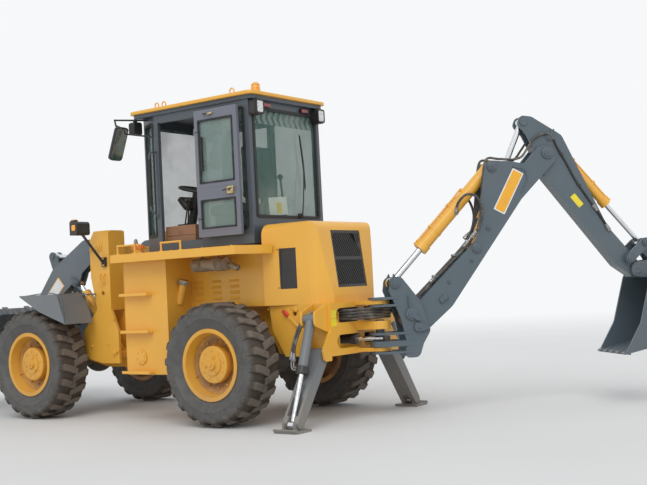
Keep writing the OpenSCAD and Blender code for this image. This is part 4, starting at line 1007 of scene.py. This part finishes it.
# %% Bars, bosses and plates on the boom and its post, and the swing cylinders' eyes
HEAD_ROD = [(1.335, 2.292), (1.425, 2.270), (1.468, 2.225), (1.468, 2.165), (1.438, 2.095), (1.405, 2.045)]
POST_ROD = [(0.246, 1.135), (0.250, 1.080), (0.254, 1.025), (0.262, 0.995)]
boom_trim, post_trim = bmesh.new(), bmesh.new()
for s, outwards in ((-1, RIGHT_OF_HOE), (1, LEFT_OF_HOE)):
    rod(boom_trim, [on_hoe(r, z, s * 0.1135) for r, z in HEAD_ROD], 0.0065)
    for r, z, size in ((1.064, 1.723, 0.022), (0.883, 1.424, 0.013), (0.655, 1.235, 0.014)):
        turned(boom_trim, towards(on_hoe(r, z, s * 0.109), outwards),
               [(size, 0), (size, 0.012), (size * 0.8, 0.016), (size * 0.45, 0.016), (size * 0.4, 0.010),
                (0, 0.010)], 20)
    block = towards(on_hoe(0.591, 1.084, s * 0.109), outwards) @ spun(-s * 38)
    slab(boom_trim, block, rectangle(0.085, 0.045, 0.014), 0.0, 0.028, 0.006)
    bolt(boom_trim, block @ at(0, 0, 0.028), 0.011)
    leaf = towards(on_hoe(0.350, 0.836, s * 0.163), outwards) @ spun(s * 8)
    slab(post_trim, leaf, rounded([(-0.062, -0.040), (0.0, -0.044), (0.092, 0.0), (0.0, 0.044),
                                   (-0.062, 0.040)], 0.03), 0.0, 0.016, 0.004)
    bolt(post_trim, leaf @ at(-0.012, 0, 0.016), 0.016)
    rod(post_trim, [on_hoe(r, z, s * 0.171) for r, z in POST_ROD], 0.007)
finished(boom_trim, "boom_trim", grey_paint, "boom")
finished(post_trim, "post_plates", grey_paint, "swing_post")

for side_name, x, y in (("left", -1.3639, 0.060), ("right", -1.200, -0.1039)):
    mesh = bmesh.new()
    turned(mesh, at(x, y, 0.750), [(0.030, -0.0228), (0.0345, -0.0228), (0.0352, -0.021),
                                   (0.0352, 0.021), (0.0345, 0.0228), (0.030, 0.0228)], 28)
    finished(mesh, f"swing_eye_{side_name}", black_paint, f"swing_rod_{side_name}")

# %% [markdown]
# ## The cab's trim
# Panes of a cab are held by black rubber seals. The rear window has a wiper, the door a brass lock with a
# handle, and the roof carries work lamps whose glass is moulded in small lenses.

# %% Seals of the windows and the door, and the door's rails
mesh = bmesh.new()
seals = [  # middle of the opening on the wall's outer face, direction, width, height
    ((-0.2605, 0.0, 2.48), (-1, 0, 0), 0.98, 1.04), ((1.2805, 0.0, 2.40), (1, 0, 0), 0.74, 1.20),
    ((0.675, -0.5605, 2.43), (0, -1, 0), 0.55, 1.14),
    ((0.075, 0.5605, 2.43), (0, 1, 0), 0.53, 1.14), ((0.075, -0.5605, 2.43), (0, -1, 0), 0.53, 1.14),
]
nose = Vector((0.13, 0.28, 0)).normalized()
for side in (1, -1):
    seals.append((Vector((1.14, side * 0.495, 2.43)) + Vector((nose.x, side * nose.y, 0)) * 0.0005,
                  (nose.x, side * nose.y, 0), 0.20, 1.14))
for middle, direction, width, height in seals:
    place = towards(middle, direction)
    border(mesh, place, rectangle(width + 0.036, height + 0.036, 0.04), 0.030, -0.004, 0.007)
finished(mesh, "window_seals", seal_rubber, "rear")

mesh = bmesh.new()
for middle, width, height in (((0.095, 0.6495, 2.6215), 0.43, 0.607), ((0.095, 0.6495, 2.01), 0.43, 0.266)):
    border(mesh, towards(middle, (0, 1, 0)), rectangle(width + 0.02, height + 0.02, 0.012), 0.018,
           -0.006, 0.004)
    border(mesh, towards((middle[0], 0.6135, middle[2]), (0, -1, 0)),
           rectangle(width + 0.02, height + 0.02, 0.012), 0.018, -0.006, 0.004)
slab(mesh, towards((0.272, 0.6495, 2.60), (0, 1, 0)), rectangle(0.022, 0.34, 0.010), 0.0, 0.024, 0.006)
finished(mesh, "door_seals", seal_rubber, "door")
mesh = bmesh.new()
for low, high in ((2.922, 2.974), (2.266, 2.322), (2.140, 2.174), (1.846, 1.880)):
    rail = towards((0.095, 0.6125, (low + high) / 2), (0, 1, 0))
    slab(mesh, rail, rectangle(0.436, high - low), 0.0, 0.0382, 0.0015)
finished(mesh, "door_rails", door_paint, "door")

# %% Door lock, catch, handle and hinge bolts
mesh = bmesh.new()
lock = towards((-0.078, 0.649, 2.222), (0, 1, 0))
slab(mesh, lock, rectangle(0.082, 0.072, 0.008), 0.0, 0.022, 0.003)
slab(mesh, lock @ at(0.028, 0.004, 0), rectangle(0.034, 0.050, 0.006), 0.022, 0.034, 0.003)
turned(mesh, lock @ at(-0.016, 0.004, 0.022), [(0.018, 0), (0.018, 0.012), (0.013, 0.016),
                                               (0.013, 0.024), (0.006, 0.025), (0, 0.018)], 20)
for x, y in ((-0.034, -0.029), (0.034, -0.029), (-0.034, 0.029), (0.034, 0.029)):
    bolt(mesh, lock @ at(x * 0.95, y, 0.022), 0.0045)
slab(mesh, towards((0.150, 0.649, 2.984), (0, 1, 0)), rectangle(0.070, 0.018, 0.006), 0.0, 0.020, 0.004)
rod(mesh, [(0.118, 0.664, 2.986), (0.135, 0.674, 2.976), (0.165, 0.676, 2.976), (0.185, 0.668, 2.988)],
    0.0045)
finished(mesh, "door_lock", brass, "door")

mesh = bmesh.new()
rod(mesh, [(-0.118, 0.672, 2.235), (-0.080, 0.690, 2.228), (-0.025, 0.688, 2.224),
           (0.004, 0.676, 2.222)], 0.0075)
for z in (1.98, 2.83):
    for x in (0.330, 0.352):
        bolt(mesh, towards((x - 0.004, 0.649, z - 0.01), (0, 1, 0)), 0.007)
rod(mesh, [(0.232, 0.662, 2.988), (0.205, 0.668, 2.986), (0.165, 0.670, 2.982)], 0.008)
finished(mesh, "door_handle", black_paint, "door")
mesh = bmesh.new()
turned(mesh, at(1.03, 0.62, 2.155), [(0.011, 0), (0.0155, 0.004), (0.0160, 0.02), (0.0160, 0.46),
                                     (0.0155, 0.476), (0.011, 0.480)], 20)
finished(mesh, "grab_bar_sleeve", seal_rubber, "rear")

# %% Wiper, ribbed panel above the rear window, and card
mesh = bmesh.new()
pivot = Vector((-0.262, -0.165, 1.975))
slab(mesh, towards(pivot, (-1, 0, 0)), rectangle(0.060, 0.045, 0.012), 0.0, 0.028, 0.006)
turned(mesh, towards(pivot, (-1, 0, 0)), [(0.013, 0.02), (0.013, 0.040), (0.009, 0.044), (0, 0.044)], 16)
rod(mesh, [(-0.297, -0.165, 1.975), (-0.300, -0.190, 2.15), (-0.290, -0.225, 2.38),
           (-0.280, -0.240, 2.50)], 0.0065)
rod(mesh, [(-0.277, -0.262, 2.25), (-0.283, -0.240, 2.50), (-0.279, -0.205, 2.78)], 0.0055)
rod(mesh, [(-0.271, -0.264, 2.24), (-0.2715, -0.241, 2.50), (-0.271, -0.203, 2.79)], 0.0045)
finished(mesh, "rear_wiper", black_paint, "rear")

mesh = bmesh.new()
columns, rows = 132, 10
PANEL_LOW, PANEL_HEIGHT, PANEL_WIDTH, RIB_PITCH = 2.862, 0.138, 0.97, 0.088
grid = []
for i in range(columns + 1):
    y = PANEL_WIDTH * (i / columns - 0.5)
    line = []
    for j in range(rows + 1):
        z = PANEL_LOW + PANEL_HEIGHT * j / rows
        zigzag = abs((z - PANEL_LOW) / PANEL_HEIGHT * 2 % 2 - 1) * 0.036
        line.append(mesh.verts.new((-0.218 - 0.006 * math.sin((y + zigzag) * math.tau / RIB_PITCH), y, z)))
    grid.append(line)
for i in range(columns):
    for j in range(rows):
        face = mesh.faces.new((grid[i][j], grid[i + 1][j], grid[i + 1][j + 1], grid[i][j + 1]))
        # The set-back half of each fold takes the dark lining, a painted shade; the crests keep the pale
        # lining.
        face.material_index = int(face.calc_center_median().x > -0.2175)
panel = finished(mesh, "ribbed_head_panel", [pale_lining, fold_shade_lining], "rear", 60)
thick = panel.modifiers.new("thickness", "SOLIDIFY")
thick.thickness = 0.003

mesh = bmesh.new()
card = towards((-0.236, 0.145, 2.065), (-1, 0, 0)) @ spun(4)
slab(mesh, card, rectangle(0.285, 0.175, 0.006), 0.0, 0.0022, 0.0006, 0)
slab(mesh, card @ at(0.012, -0.02, 0), rectangle(0.075, 0.105, 0.004), 0.0015, 0.0030, 0.0005, 1)
finished(mesh, "window_card", [label_mint, label_yellow], "rear")

# %% Lamps, beacon, roof eyes and mirrors
mesh, rims = bmesh.new(), bmesh.new()
for side in (1, -1):
    for point, direction, w, h in (((-0.3465, side * 0.49, 3.0), (-1, 0, 0), 0.092, 0.116),
                                   ((1.3125, side * 0.55, 2.985), (1, 0, 0), 0.084, 0.102)):
        place = towards(point, direction)
        slab(mesh, place, rectangle(w, h, 0.020), -0.004, 0.008, 0.006)
        border(rims, place, rectangle(w + 0.022, h + 0.022, 0.026), 0.012, -0.006, 0.010)
        turned(rims, place @ at(0, h / 2 + 0.028, -0.045), [(0.010, -0.012), (0.010, 0.012), (0, 0.013)], 6)
finished(rims, "lamp_rims", lamp_plastic, "rear")
heads = bmesh.new()
for side in (1, -1):
    turned(heads, towards((1.9705, side * 0.785, 1.99), (1, 0, 0)),
           [(0.052, -0.004), (0.052, 0.004), (0.040, 0.010), (0.018, 0.014), (0, 0.015)], 32)
finished(heads, "head_lamp_lenses", lamp_lens, "front")
finished(mesh, "work_lamp_lenses", lamp_lens, "rear")

mesh = bmesh.new()
for side in (1, -1):
    slab(mesh, towards((-0.2805, side * 0.30, 3.04), (-1, 0, 0)), rectangle(0.098, 0.036, 0.010), 0.0,
         0.010, 0.004)
finished(mesh, "rear_lamp_lenses", red_lens, "rear")

mesh = bmesh.new()
for side in (1, -1):
    slab(mesh, towards((1.915, side * 0.8725, 2.0755), (0, 0, 1)), rectangle(0.060, 0.036, 0.010), 0.0,
         0.010, 0.004)
    slab(mesh, on_side(side, 1.895, 0.9005, 1.995), rectangle(0.052, 0.060, 0.012), 0.0, 0.010, 0.004)
finished(mesh, "marker_lenses", amber_lens, "front")

mesh = bmesh.new()
place = at(-0.150, 0.300, 3.170)
turned(mesh, place, [(0.050, 0.018), (0.0495, 0.026), (0.0475, 0.030), (0.047, 0.040), (0.0482, 0.042),
                     (0.047, 0.044), (0.0465, 0.054), (0.0478, 0.056), (0.0465, 0.058), (0.045, 0.080),
                     (0.040, 0.096), (0.030, 0.107), (0.014, 0.1125), (0, 0.1135)], 40)
finished(mesh, "beacon_dome", amber_lens, "rear")

mesh = bmesh.new()
for x, y in ((-0.055, 0.545), (0.860, 0.545), (0.960, 0.545), (-0.055, -0.545), (0.910, -0.545)):
    rod(mesh, [(x - 0.022, y, 3.166), (x - 0.026, y, 3.190), (x, y, 3.212), (x + 0.026, y, 3.190),
               (x + 0.022, y, 3.166)], 0.0065)
finished(mesh, "roof_eyes", yellow_paint, "rear")

mesh = bmesh.new()
tilt = math.radians(22)
for side in (1, -1):
    facing = Vector((-math.cos(tilt), 0, -math.sin(tilt)))
    slab(mesh, towards(Vector((1.33, side * 0.75, 2.82)) + facing * 0.0172, facing),
         rectangle(0.145, 0.325, 0.040), 0.0, 0.0025, 0.0012)
finished(mesh, "mirror_glass", mirror_silver, "rear")

# %% [markdown]
# ## The roof
# The roof is one pressed sheet: a thin turned edge all round, a shallow crown that sheds the rain, and a
# dark liner tucked under it. The solid is a plain slab of the same outline, so the two pieces stand for it.

# %% Crowned roof sheet and liner
def sheet_roof():
    mesh = bmesh.new()
    middle, half = Vector((0.49, 0.0)), Vector((0.83, 0.61))
    outline = [tuple(Vector(p) + middle) for p in rounded(
        [(-half.x, -half.y), (half.x, -half.y), (half.x, half.y), (-half.x, half.y)], 0.075, 6)]
    rings = []
    for depth, z in ((0.012, 3.118), (0.002, 3.120), (0.0, 3.124), (0.0, 3.146), (0.004, 3.153),
                     (0.014, 3.156), (0.10, 3.158), (0.14, 3.165), (0.30, 3.1685), (0.50, 3.170)):
        shape = [tuple(middle + Vector((max(-half.x + depth, min(half.x - depth, x - middle.x)),
                                        max(-half.y + depth, min(half.y - depth, y - middle.y)))))
                 for x, y in outline] if depth > 0.05 else inset(outline, depth)
        rings.append([mesh.verts.new((x, y, z)) for x, y in shape])
    bridge(mesh, rings)
    return finished(mesh, "roof_sheet", yellow_paint, "rear", 30)


roof = sheet_roof()
mesh = bmesh.new()
slab(mesh, at(0.49, 0, 0), rectangle(1.600, 1.160, 0.05), 3.0805, 3.119, 0.002)
finished(mesh, "roof_liner", cab_paint, "rear")
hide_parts("cab_roof")

# %% [markdown]
# ## The seat
# The driver's seat is foam under a vinyl cover. A cushion is not a block: it is fullest in the middle and
# pulled in at its seams. So each pad starts as a slightly small block that is remeshed to an even grid,
# then Blender's cloth blows it up a little, and the sewn channels are pressed in afterwards.

# %% Padded seat
GRID, QUICK_GRID, FOAM_FRAMES = 0.006, 0.010, 20
PUFF_LIMIT, SEAM_DEPTH, SEAM_WIDTH = 0.011, 0.009, 0.008
SEAMS = (-0.13, 0.0, 0.13)


def cushion(name, low, high, press):
    """A padded block from low to high. press says along which axis its sewn channels are pushed in."""
    mesh = bmesh.new()
    bmesh.ops.create_cube(mesh, size=1.0)
    size, centre = Vector(high) - Vector(low), (Vector(high) + Vector(low)) / 2
    for vert in mesh.verts:
        vert.co = Vector(c * (s - 0.022) for c, s in zip(vert.co, size))
    bmesh.ops.bevel(mesh, geom=mesh.edges[:], offset=0.026, segments=4, affect="EDGES", profile=0.5)
    piece = finished(mesh, name, seat_cover, None, 60)
    piece.data.transform(Matrix.Translation(-ZERO))
    piece.location = ZERO + centre
    remesh = piece.modifiers.new("even_grid", "REMESH")
    remesh.mode = "VOXEL"
    remesh.voxel_size = GRID
    remesh.use_smooth_shade = True
    bpy.context.view_layer.objects.active = piece
    bpy.context.view_layer.update()
    graph = bpy.context.evaluated_depsgraph_get()
    even = bpy.data.meshes.new_from_object(piece.evaluated_get(graph))
    piece.modifiers.clear()
    piece.data = even
    start = [vert.co.copy() for vert in even.vertices]
    cloth = piece.modifiers.new("foam", "CLOTH")
    cloth.settings.use_pressure = True
    cloth.settings.uniform_pressure_force = 4.0
    cloth.settings.effector_weights.gravity = 0.0
    cloth.settings.tension_stiffness = cloth.settings.compression_stiffness = 25
    for step in range(1, FOAM_FRAMES + 1):
        bpy.context.scene.frame_set(step)
    graph = bpy.context.evaluated_depsgraph_get()
    blown = bpy.data.meshes.new_from_object(piece.evaluated_get(graph))
    piece.modifiers.clear()
    piece.data = blown
    for vert, rest in zip(blown.vertices, start):
        move = vert.co - rest
        if move.length > PUFF_LIMIT:
            vert.co = rest + move * (PUFF_LIMIT / move.length)
    bpy.context.scene.frame_set(1)
    across = 1 if press != 1 else 0
    for vert in piece.data.vertices:
        side = abs(vert.co[press]) / (size[press] / 2)
        for offset in SEAMS:
            near = math.exp(-((vert.co[across] - offset) / SEAM_WIDTH) ** 2)
            vert.co[press] -= math.copysign(SEAM_DEPTH * near * min(1.0, side), vert.co[press])
    for face in piece.data.polygons:
        face.use_smooth = True
    if not piece.data.materials:
        piece.data.materials.append(seat_cover)
    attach(piece, "rear")
    return piece


base = cushion("seat_cushion", (0.125, -0.245, 2.022), (0.615, 0.245, 2.138), 2)
back = cushion("seat_back", (0.063, -0.237, 2.153), (0.167, 0.237, 2.717), 0)
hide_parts("seat")
print("seat vertices:", len(base.data.vertices), len(back.data.vertices))

# %% Console, levers and the crate by the door
mesh = bmesh.new()
slab(mesh, towards((1.03, 0.0, 2.22), (-0.75, 0, 0.66)), rectangle(0.30, 0.17, 0.03), -0.05, 0.0, 0.012)
for y in (-0.085, 0.0, 0.085):
    turned(mesh, towards((1.03, 0.0, 2.22), (-0.75, 0, 0.66)) @ at(y, 0.01, 0),
           [(0.034, 0), (0.034, 0.006), (0.030, 0.007), (0.029, 0.003), (0, 0.003)], 24, 1)
for side in (1, -1):
    turned(mesh, at(-0.12, side * 0.13, 1.755),
           [(0.062, 0), (0.058, 0.012), (0.046, 0.016), (0.050, 0.028), (0.036, 0.032), (0.041, 0.046),
            (0.026, 0.050), (0.016, 0.075)], 24)
for k, y in enumerate((0.20, 0.245)):
    rod(mesh, [(0.95, y, 1.75), (0.93, y, 1.95), (0.90 - 0.02 * k, y + 0.01, 2.12),
               (0.88, y + 0.015, 2.20)], 0.008)
    turned(mesh, at(0.88, y + 0.015, 2.19), [(0.008, 0), (0.020, 0.012), (0.023, 0.028), (0.016, 0.044),
                                             (0, 0.050)], 16)
for y in (-0.12, 0.13):
    slab(mesh, towards((1.10, y, 1.80), (-0.8, 0, 0.6)), rectangle(0.075, 0.13, 0.012), 0.0, 0.010, 0.003)
finished(mesh, "console_and_levers", [lamp_plastic, zinc], "rear")

mesh = bmesh.new()
CRATE_LENGTH, CRATE_DEPTH = 0.41, 0.20
crate = at(0.765, 0.385, 1.742)
slab(mesh, crate, rectangle(CRATE_LENGTH, CRATE_DEPTH, 0.004), 0.0, 0.012, 0.002)
for low, high in ((0.004, 0.098), (0.103, 0.200)):
    for side in (1, -1):
        for x, y, w, d in ((0, side * (CRATE_DEPTH / 2 - 0.006), CRATE_LENGTH, 0.012),
                           (side * (CRATE_LENGTH / 2 - 0.006), 0, 0.012, CRATE_DEPTH - 0.024)):
            slab(mesh, crate @ at(x, y, 0), rectangle(w, d, 0.002), low, high, 0.003)
for side in (1, -1):
    for end in (1, -1):
        slab(mesh, crate @ at(end * (CRATE_LENGTH / 2 - 0.026), side * (CRATE_DEPTH / 2 - 0.018), 0),
             rectangle(0.024, 0.014), 0.01, 0.190, 0.002)
finished(mesh, "tool_crate", crate_wood, "rear")

# %% [markdown]
# ## Trim of the body
# Tanks, deck and engine cover are welded sheet. They carry bolts where a cover comes off, a mesh behind
# the radiator grille, rings on the silencer's ends and a bright end on its pipe.

# %% Radiator mesh, grille corner and vent bolts
MESH_PITCH, MESH_EDGE, MESH_WIRE = 0.024, 0.228, 0.0022
MESH_LOW, MESH_HIGH, MESH_LEAN = 1.252, 1.768, 0.29
mesh = bmesh.new()
for k in range(-24, 25):
    for lean in (1, -1):
        y = k * MESH_PITCH
        a, b = Vector((0, y, MESH_LOW)), Vector((0, y + lean * MESH_LEAN, MESH_HIGH))
        clipped = []
        for point, other in ((a, b), (b, a)):
            if abs(point.y) > MESH_EDGE:
                t = (math.copysign(MESH_EDGE, point.y) - point.y) / (other.y - point.y)
                if not 0 <= t <= 1:
                    break
                point = point + (other - point) * t
            clipped.append(point)
        if len(clipped) == 2 and abs(clipped[0].y) < 0.23 and abs(clipped[1].y) < 0.23:
            start, end = (Vector((-0.905 - 0.062 * (1.77 - p.z) / 0.52 + 0.004 * lean + 0.008, p.y, p.z))
                          for p in clipped)
            run = end - start
            if run.length > 0.03:
                turned(mesh, towards(start, run), [(MESH_WIRE, 0), (MESH_WIRE, run.length)], 5)
finished(mesh, "radiator_mesh", black_paint, "rear")

SLOPE = 95.0 / 780.0
back_plane = towards((-0.9005 - 0.095 * (1.865 - 1.665) / 0.775, 0, 1.665), (-1, 0, -SLOPE))
# The near-black plate under the corner's bars is painted shade for the slots between them.
mesh = bmesh.new()
slab(mesh, back_plane, [(0.216, 0.092), (0.216, -0.090), (0.110, 0.092)], 0.0, 0.0016, 0.0004)
finished(mesh, "grille_corner", lamp_plastic, "rear")
mesh = bmesh.new()
for k in range(1, 4):
    start, end = Vector((0.214 - 0.034 * k, 0.090)), Vector((0.214, 0.090 - 0.060 * k))
    run, middle = end - start, (start + end) / 2
    bar_place = back_plane @ at(*middle, 0.0) @ spun(math.degrees(math.atan2(run.y, run.x)))
    slab(mesh, bar_place, rectangle(run.length, 0.013), 0.0, 0.0045, 0.001)
finished(mesh, "grille_corner_bars", black_paint, "rear")

mesh = bmesh.new()
for side in (1, -1):
    for x, z in ((-0.690, 1.262), (-0.530, 1.262), (-0.690, 1.618), (-0.530, 1.618)):
        bolt(mesh, towards((x, side * (0.557 + 0.08 * (x + 0.61)), z), (0, side, 0)), 0.006)
finished(mesh, "vent_bolts", black_paint, "rear")

# %% Deck: handle feet, edge bolts, filler cap and its hoses
DECK_TOP = 1.670
mesh = bmesh.new()
for rear_end, front_end, y in ((0.895, 1.135, 1.005), (0.335, 0.590, 0.950)):
    for side in (1, -1):
        for x in (rear_end, front_end):
            turned(mesh, at(x, side * y, DECK_TOP),
                   [(0.024, 0), (0.024, 0.005), (0.014, 0.010), (0.011, 0.012)], 18)
for side in (1, -1):
    for x in (1.185, 0.80, 0.40, 0.0, -0.36):
        bolt(mesh, at(x, side * 1.012, DECK_TOP), 0.008)
turned(mesh, at(1.02, 0.84, 1.755), [(0.050, 0), (0.050, 0.006), (0.042, 0.012), (0.020, 0.013),
                                     (0.018, 0.020), (0, 0.021)], 28)
finished(mesh, "deck_trim", yellow_paint, "rear")

mesh = bmesh.new()
turned(mesh, at(1.02, 0.84, 1.755), [(0.0635, -0.030), (0.0655, -0.028), (0.0655, -0.006), (0.062, 0.0)],
       36)
CAP_RIBS = 18
for k in range(CAP_RIBS):
    a = math.tau * k / CAP_RIBS
    slab(mesh, towards((1.02 + 0.063 * math.cos(a), 0.84 + 0.063 * math.sin(a), 1.738),
                       (math.cos(a), math.sin(a), 0)), rectangle(0.009, 0.022, 0.003), 0.0, 0.006, 0.002)
finished(mesh, "filler_cap_ring", orange_plastic, "rear")

mesh = bmesh.new()
hose(mesh, [(1.135, 0.70, 1.668), (1.137, 0.72, 1.735), (1.125, 0.76, 1.790), (1.09, 0.80, 1.800),
            (1.062, 0.825, 1.775)], 0.014, 10)
hose(mesh, [(1.19, 0.60, 1.668), (1.20, 0.62, 1.72), (1.19, 0.67, 1.742), (1.165, 0.72, 1.722),
            (1.15, 0.74, 1.668)], 0.010, 10)
finished(mesh, "filler_hoses", [hose_rubber, zinc], "rear")

# %% Tanks: cleaning cover, drain plug, step treads, seams and fuel cap
mesh = bmesh.new()
for side in (1, -1):
    cover = on_side(side, 0.990, 0.890, 0.650)
    turned(mesh, cover, [(0.071, 0.0), (0.071, 0.002), (0.046, 0.002), (0.044, 0.006), (0, 0.006)], 40)
    for k in range(6):
        a = math.tau * k / 6 + 0.26
        bolt(mesh, cover @ at(0.057 * math.cos(a), 0.057 * math.sin(a), 0.002), 0.009)
    turned(mesh, towards((0.76, side * 0.7, 0.475), (0, 0, -1)),
           [(0.026, 0), (0.026, 0.008), (0.020, 0.012)], 6)
    for z in (0.498, 0.898, 1.263):
        for k in range(6):
            x = 0.845 + 0.065 * k
            slab(mesh, at(x, side * 0.915, z), rectangle(0.034, 0.014, 0.006), -0.001, 0.0045, 0.002)
    slab(mesh, on_side(side, 0.606, 0.5302, 1.345), rectangle(0.034, 0.49, 0.003), 0.0, 0.0042, 0.001)
    for x in (0.6125, 1.1975):
        hose(mesh, [(x, side * 0.8795, 0.52), (x, side * 0.8797, 1.0), (x, side * 0.8795, 1.60)], 0.0045,
             6, False)
finished(mesh, "tank_trim", yellow_paint, "rear")

mesh = bmesh.new()
start, end = Vector((0.620, 0.700, 1.160)), Vector((0.545, 0.700, 1.390))
neck = towards(start + (end - start).normalized() * 0.196, end - start)
turned(mesh, neck, [(0.047, 0.0), (0.0475, 0.004), (0.0475, 0.034), (0.044, 0.044), (0.030, 0.047),
                    (0.028, 0.043), (0, 0.043)], 32)
CAP_FLUTES = 16
for k in range(CAP_FLUTES):
    a = math.tau * k / CAP_FLUTES
    turned(mesh, neck @ at(0.0472 * math.cos(a), 0.0472 * math.sin(a), 0.006),
           [(0.0035, 0), (0.0035, 0.026), (0, 0.028)], 6)
finished(mesh, "fuel_cap", zinc, "rear")

# %% Silencer
mesh = bmesh.new()
for x in (-0.028, 0.388):
    turned(mesh, towards((x, 0.7, 1.52), (-1 if x < 0 else 1, 0, 0)),
           [(0.064, -0.004), (0.0655, 0.0), (0.060, 0.005), (0.045, 0.009), (0.030, 0.011)], 36)
for x in (0.09, 0.29):
    slab(mesh, towards((x, 0.7685, 1.52), (0, 1, 0)), rectangle(0.030, 0.030, 0.004), 0.0, 0.012, 0.002)
    bolt(mesh, towards((x, 0.7, 1.589), (0, 0, 1)), 0.009)
finished(mesh, "silencer_trim", exhaust_steel, "rear")
mesh = bmesh.new()
turned(mesh, towards((-0.128, 0.7, 1.484), (-0.93, 0, -0.36)),
       [(0.0285, 0.0), (0.0292, 0.004), (0.0292, 0.034), (0.0270, 0.034), (0.0262, 0.004), (0, 0.004)],
       32)
finished(mesh, "exhaust_tip", zinc, "rear")

# %% Towers, fenders and lift arms
mesh = bmesh.new()
for side in (1, -1):
    for x, lean in ((1.862, -1), (1.806, 1)):
        rod(mesh, [(x, side * 0.575, 1.50), (x, side * 0.600, 1.497), (x, side * 0.604, 1.44),
                   (x + lean * 0.012, side * 0.604, 1.395), (x + lean * 0.034, side * 0.602, 1.392)],
            0.0062)
    for z in (1.595, 1.665):
        bolt(mesh, on_side(side, 1.80, 0.600, z), 0.010)
    for x, z in ((1.70, 1.02), (1.80, 0.76), (2.05, 0.74)):
        bolt(mesh, on_side(side, x, 0.575, z), 0.014)
    for x in (2.02, 2.18):
        bolt(mesh, towards((x, side * 0.64, 1.3175), (0, 0, 1)), 0.010)
finished(mesh, "tower_trim", yellow_paint, "front")

mesh = bmesh.new()
for side in (1, -1):
    rod(mesh, [(2.640, side * 1.024, 1.310), (2.05, side * 1.028, 1.310), (1.945, side * 1.028, 1.002)],
        0.0055)
    rod(mesh, [(2.645, side * 0.66, 1.310), (2.645, side * 0.85, 1.311), (2.645, side * 1.024, 1.310)],
        0.0055)
finished(mesh, "fender_edges", grey_paint, "front")

mesh = bmesh.new()
for side in (1, -1):
    place = on_side(side, 2.72, 0.5103, 1.33) @ spun(43.8 * side)
    slab(mesh, place, rectangle(0.365, 0.140, 0.010), 0.0, 0.0020, 0.0006, 1)
    slab(mesh, place, rectangle(0.345, 0.120, 0.008), 0.0012, 0.0030, 0.0006, 0)
finished(mesh, "arm_labels", [label_white, label_orange], "lift_arms")

# %% Hoses of the loader
mesh = bmesh.new()
for side in (1, -1):
    hose(mesh, [(1.65, side * 0.20, 1.02), (1.72, side * 0.30, 1.12), (1.80, side * 0.34, 1.35),
                (1.84, side * 0.30, 1.55), (1.88, side * 0.16, 1.62)], 0.013, 8)
finished(mesh, "front_hoses", [hose_rubber, zinc], "front")
mesh = bmesh.new()
for y in (-0.16, -0.10, 0.10, 0.16):
    hose(mesh, [(0.98, y, 0.99), (1.12, y * 1.05, 1.035), (1.30, y * 1.25, 1.055),
                (1.48, y * 1.15, 1.03), (1.60, y * 1.2, 0.98)], 0.013, 8)
hinge_hoses = finished(mesh, "hinge_hoses", [hose_rubber, zinc])
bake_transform(hinge_hoses)

# %% [markdown]
# ## Floor and light
# A pale floor and an even sky stand in for an overcast day. The sky is white to the camera and softer on
# the machine, and one broad lamp from above gives the shadow a direction.

# %% Floor, sky and lamp
SKY_WHITE = (0.93, 0.94, 0.95)
FLOOR = 60.0
floor_mesh = bpy.data.meshes.new("floor")
floor_mesh.from_pydata([(-FLOOR, -FLOOR, 0), (FLOOR, -FLOOR, 0), (FLOOR, FLOOR, 0), (-FLOOR, FLOOR, 0)],
                       [], [(0, 1, 2, 3)])
floor = bpy.data.objects.new("floor", floor_mesh)
bpy.context.scene.collection.objects.link(floor)
floor.location.z = -0.001
floor_finish = Finish("pale_floor")
near_floor = floor_finish.add("BsdfPrincipled", {}, {"Base Color": floor_finish.between(
    floor_finish.noise(0.6, 4), (0.66, 0.655, 0.64), (0.72, 0.715, 0.70)), "Roughness": 0.9})
far_floor = floor_finish.add("Emission", {}, {"Color": SKY_WHITE})
distance = floor_finish.add("VectorMath", {"operation": "LENGTH"}, {0: floor_finish.place}, output=1)
floor_finish.add("OutputMaterial", {}, {"Surface": floor_finish.add(
    "MixShader", {}, {0: floor_finish.step(distance, 7.0, 26.0), 1: near_floor, 2: far_floor})})
dress(floor, floor_finish.material)

world = bpy.data.worlds.new("sky")
bpy.context.scene.world = world
sky = Finish("sky", world)
lit = sky.add("Background", {}, {"Color": (0.93, 0.96, 1.0), "Strength": 0.82})
white = sky.add("Background", {}, {"Color": SKY_WHITE, "Strength": 1.0})
seen, glossy, through = (sky.add("LightPath", output=f"Is {ray} Ray")
                         for ray in ("Camera", "Glossy", "Transmission"))
sky.add("OutputWorld", {}, {"Surface": sky.add(
    "MixShader", {}, {0: sky.clamp(seen + glossy + through), 1: lit, 2: white})})

sun_data = bpy.data.lights.new("sun", "SUN")
sun_data.energy = 1.1
sun_data.angle = math.radians(40)
sun = bpy.data.objects.new("sun", sun_data)
sun.rotation_euler = Vector((-0.35, 0.60, 0.72)).to_track_quat("Z", "Y").to_euler()
bpy.context.scene.collection.objects.link(sun)
bpy.context.scene.view_settings.view_transform = "Standard"
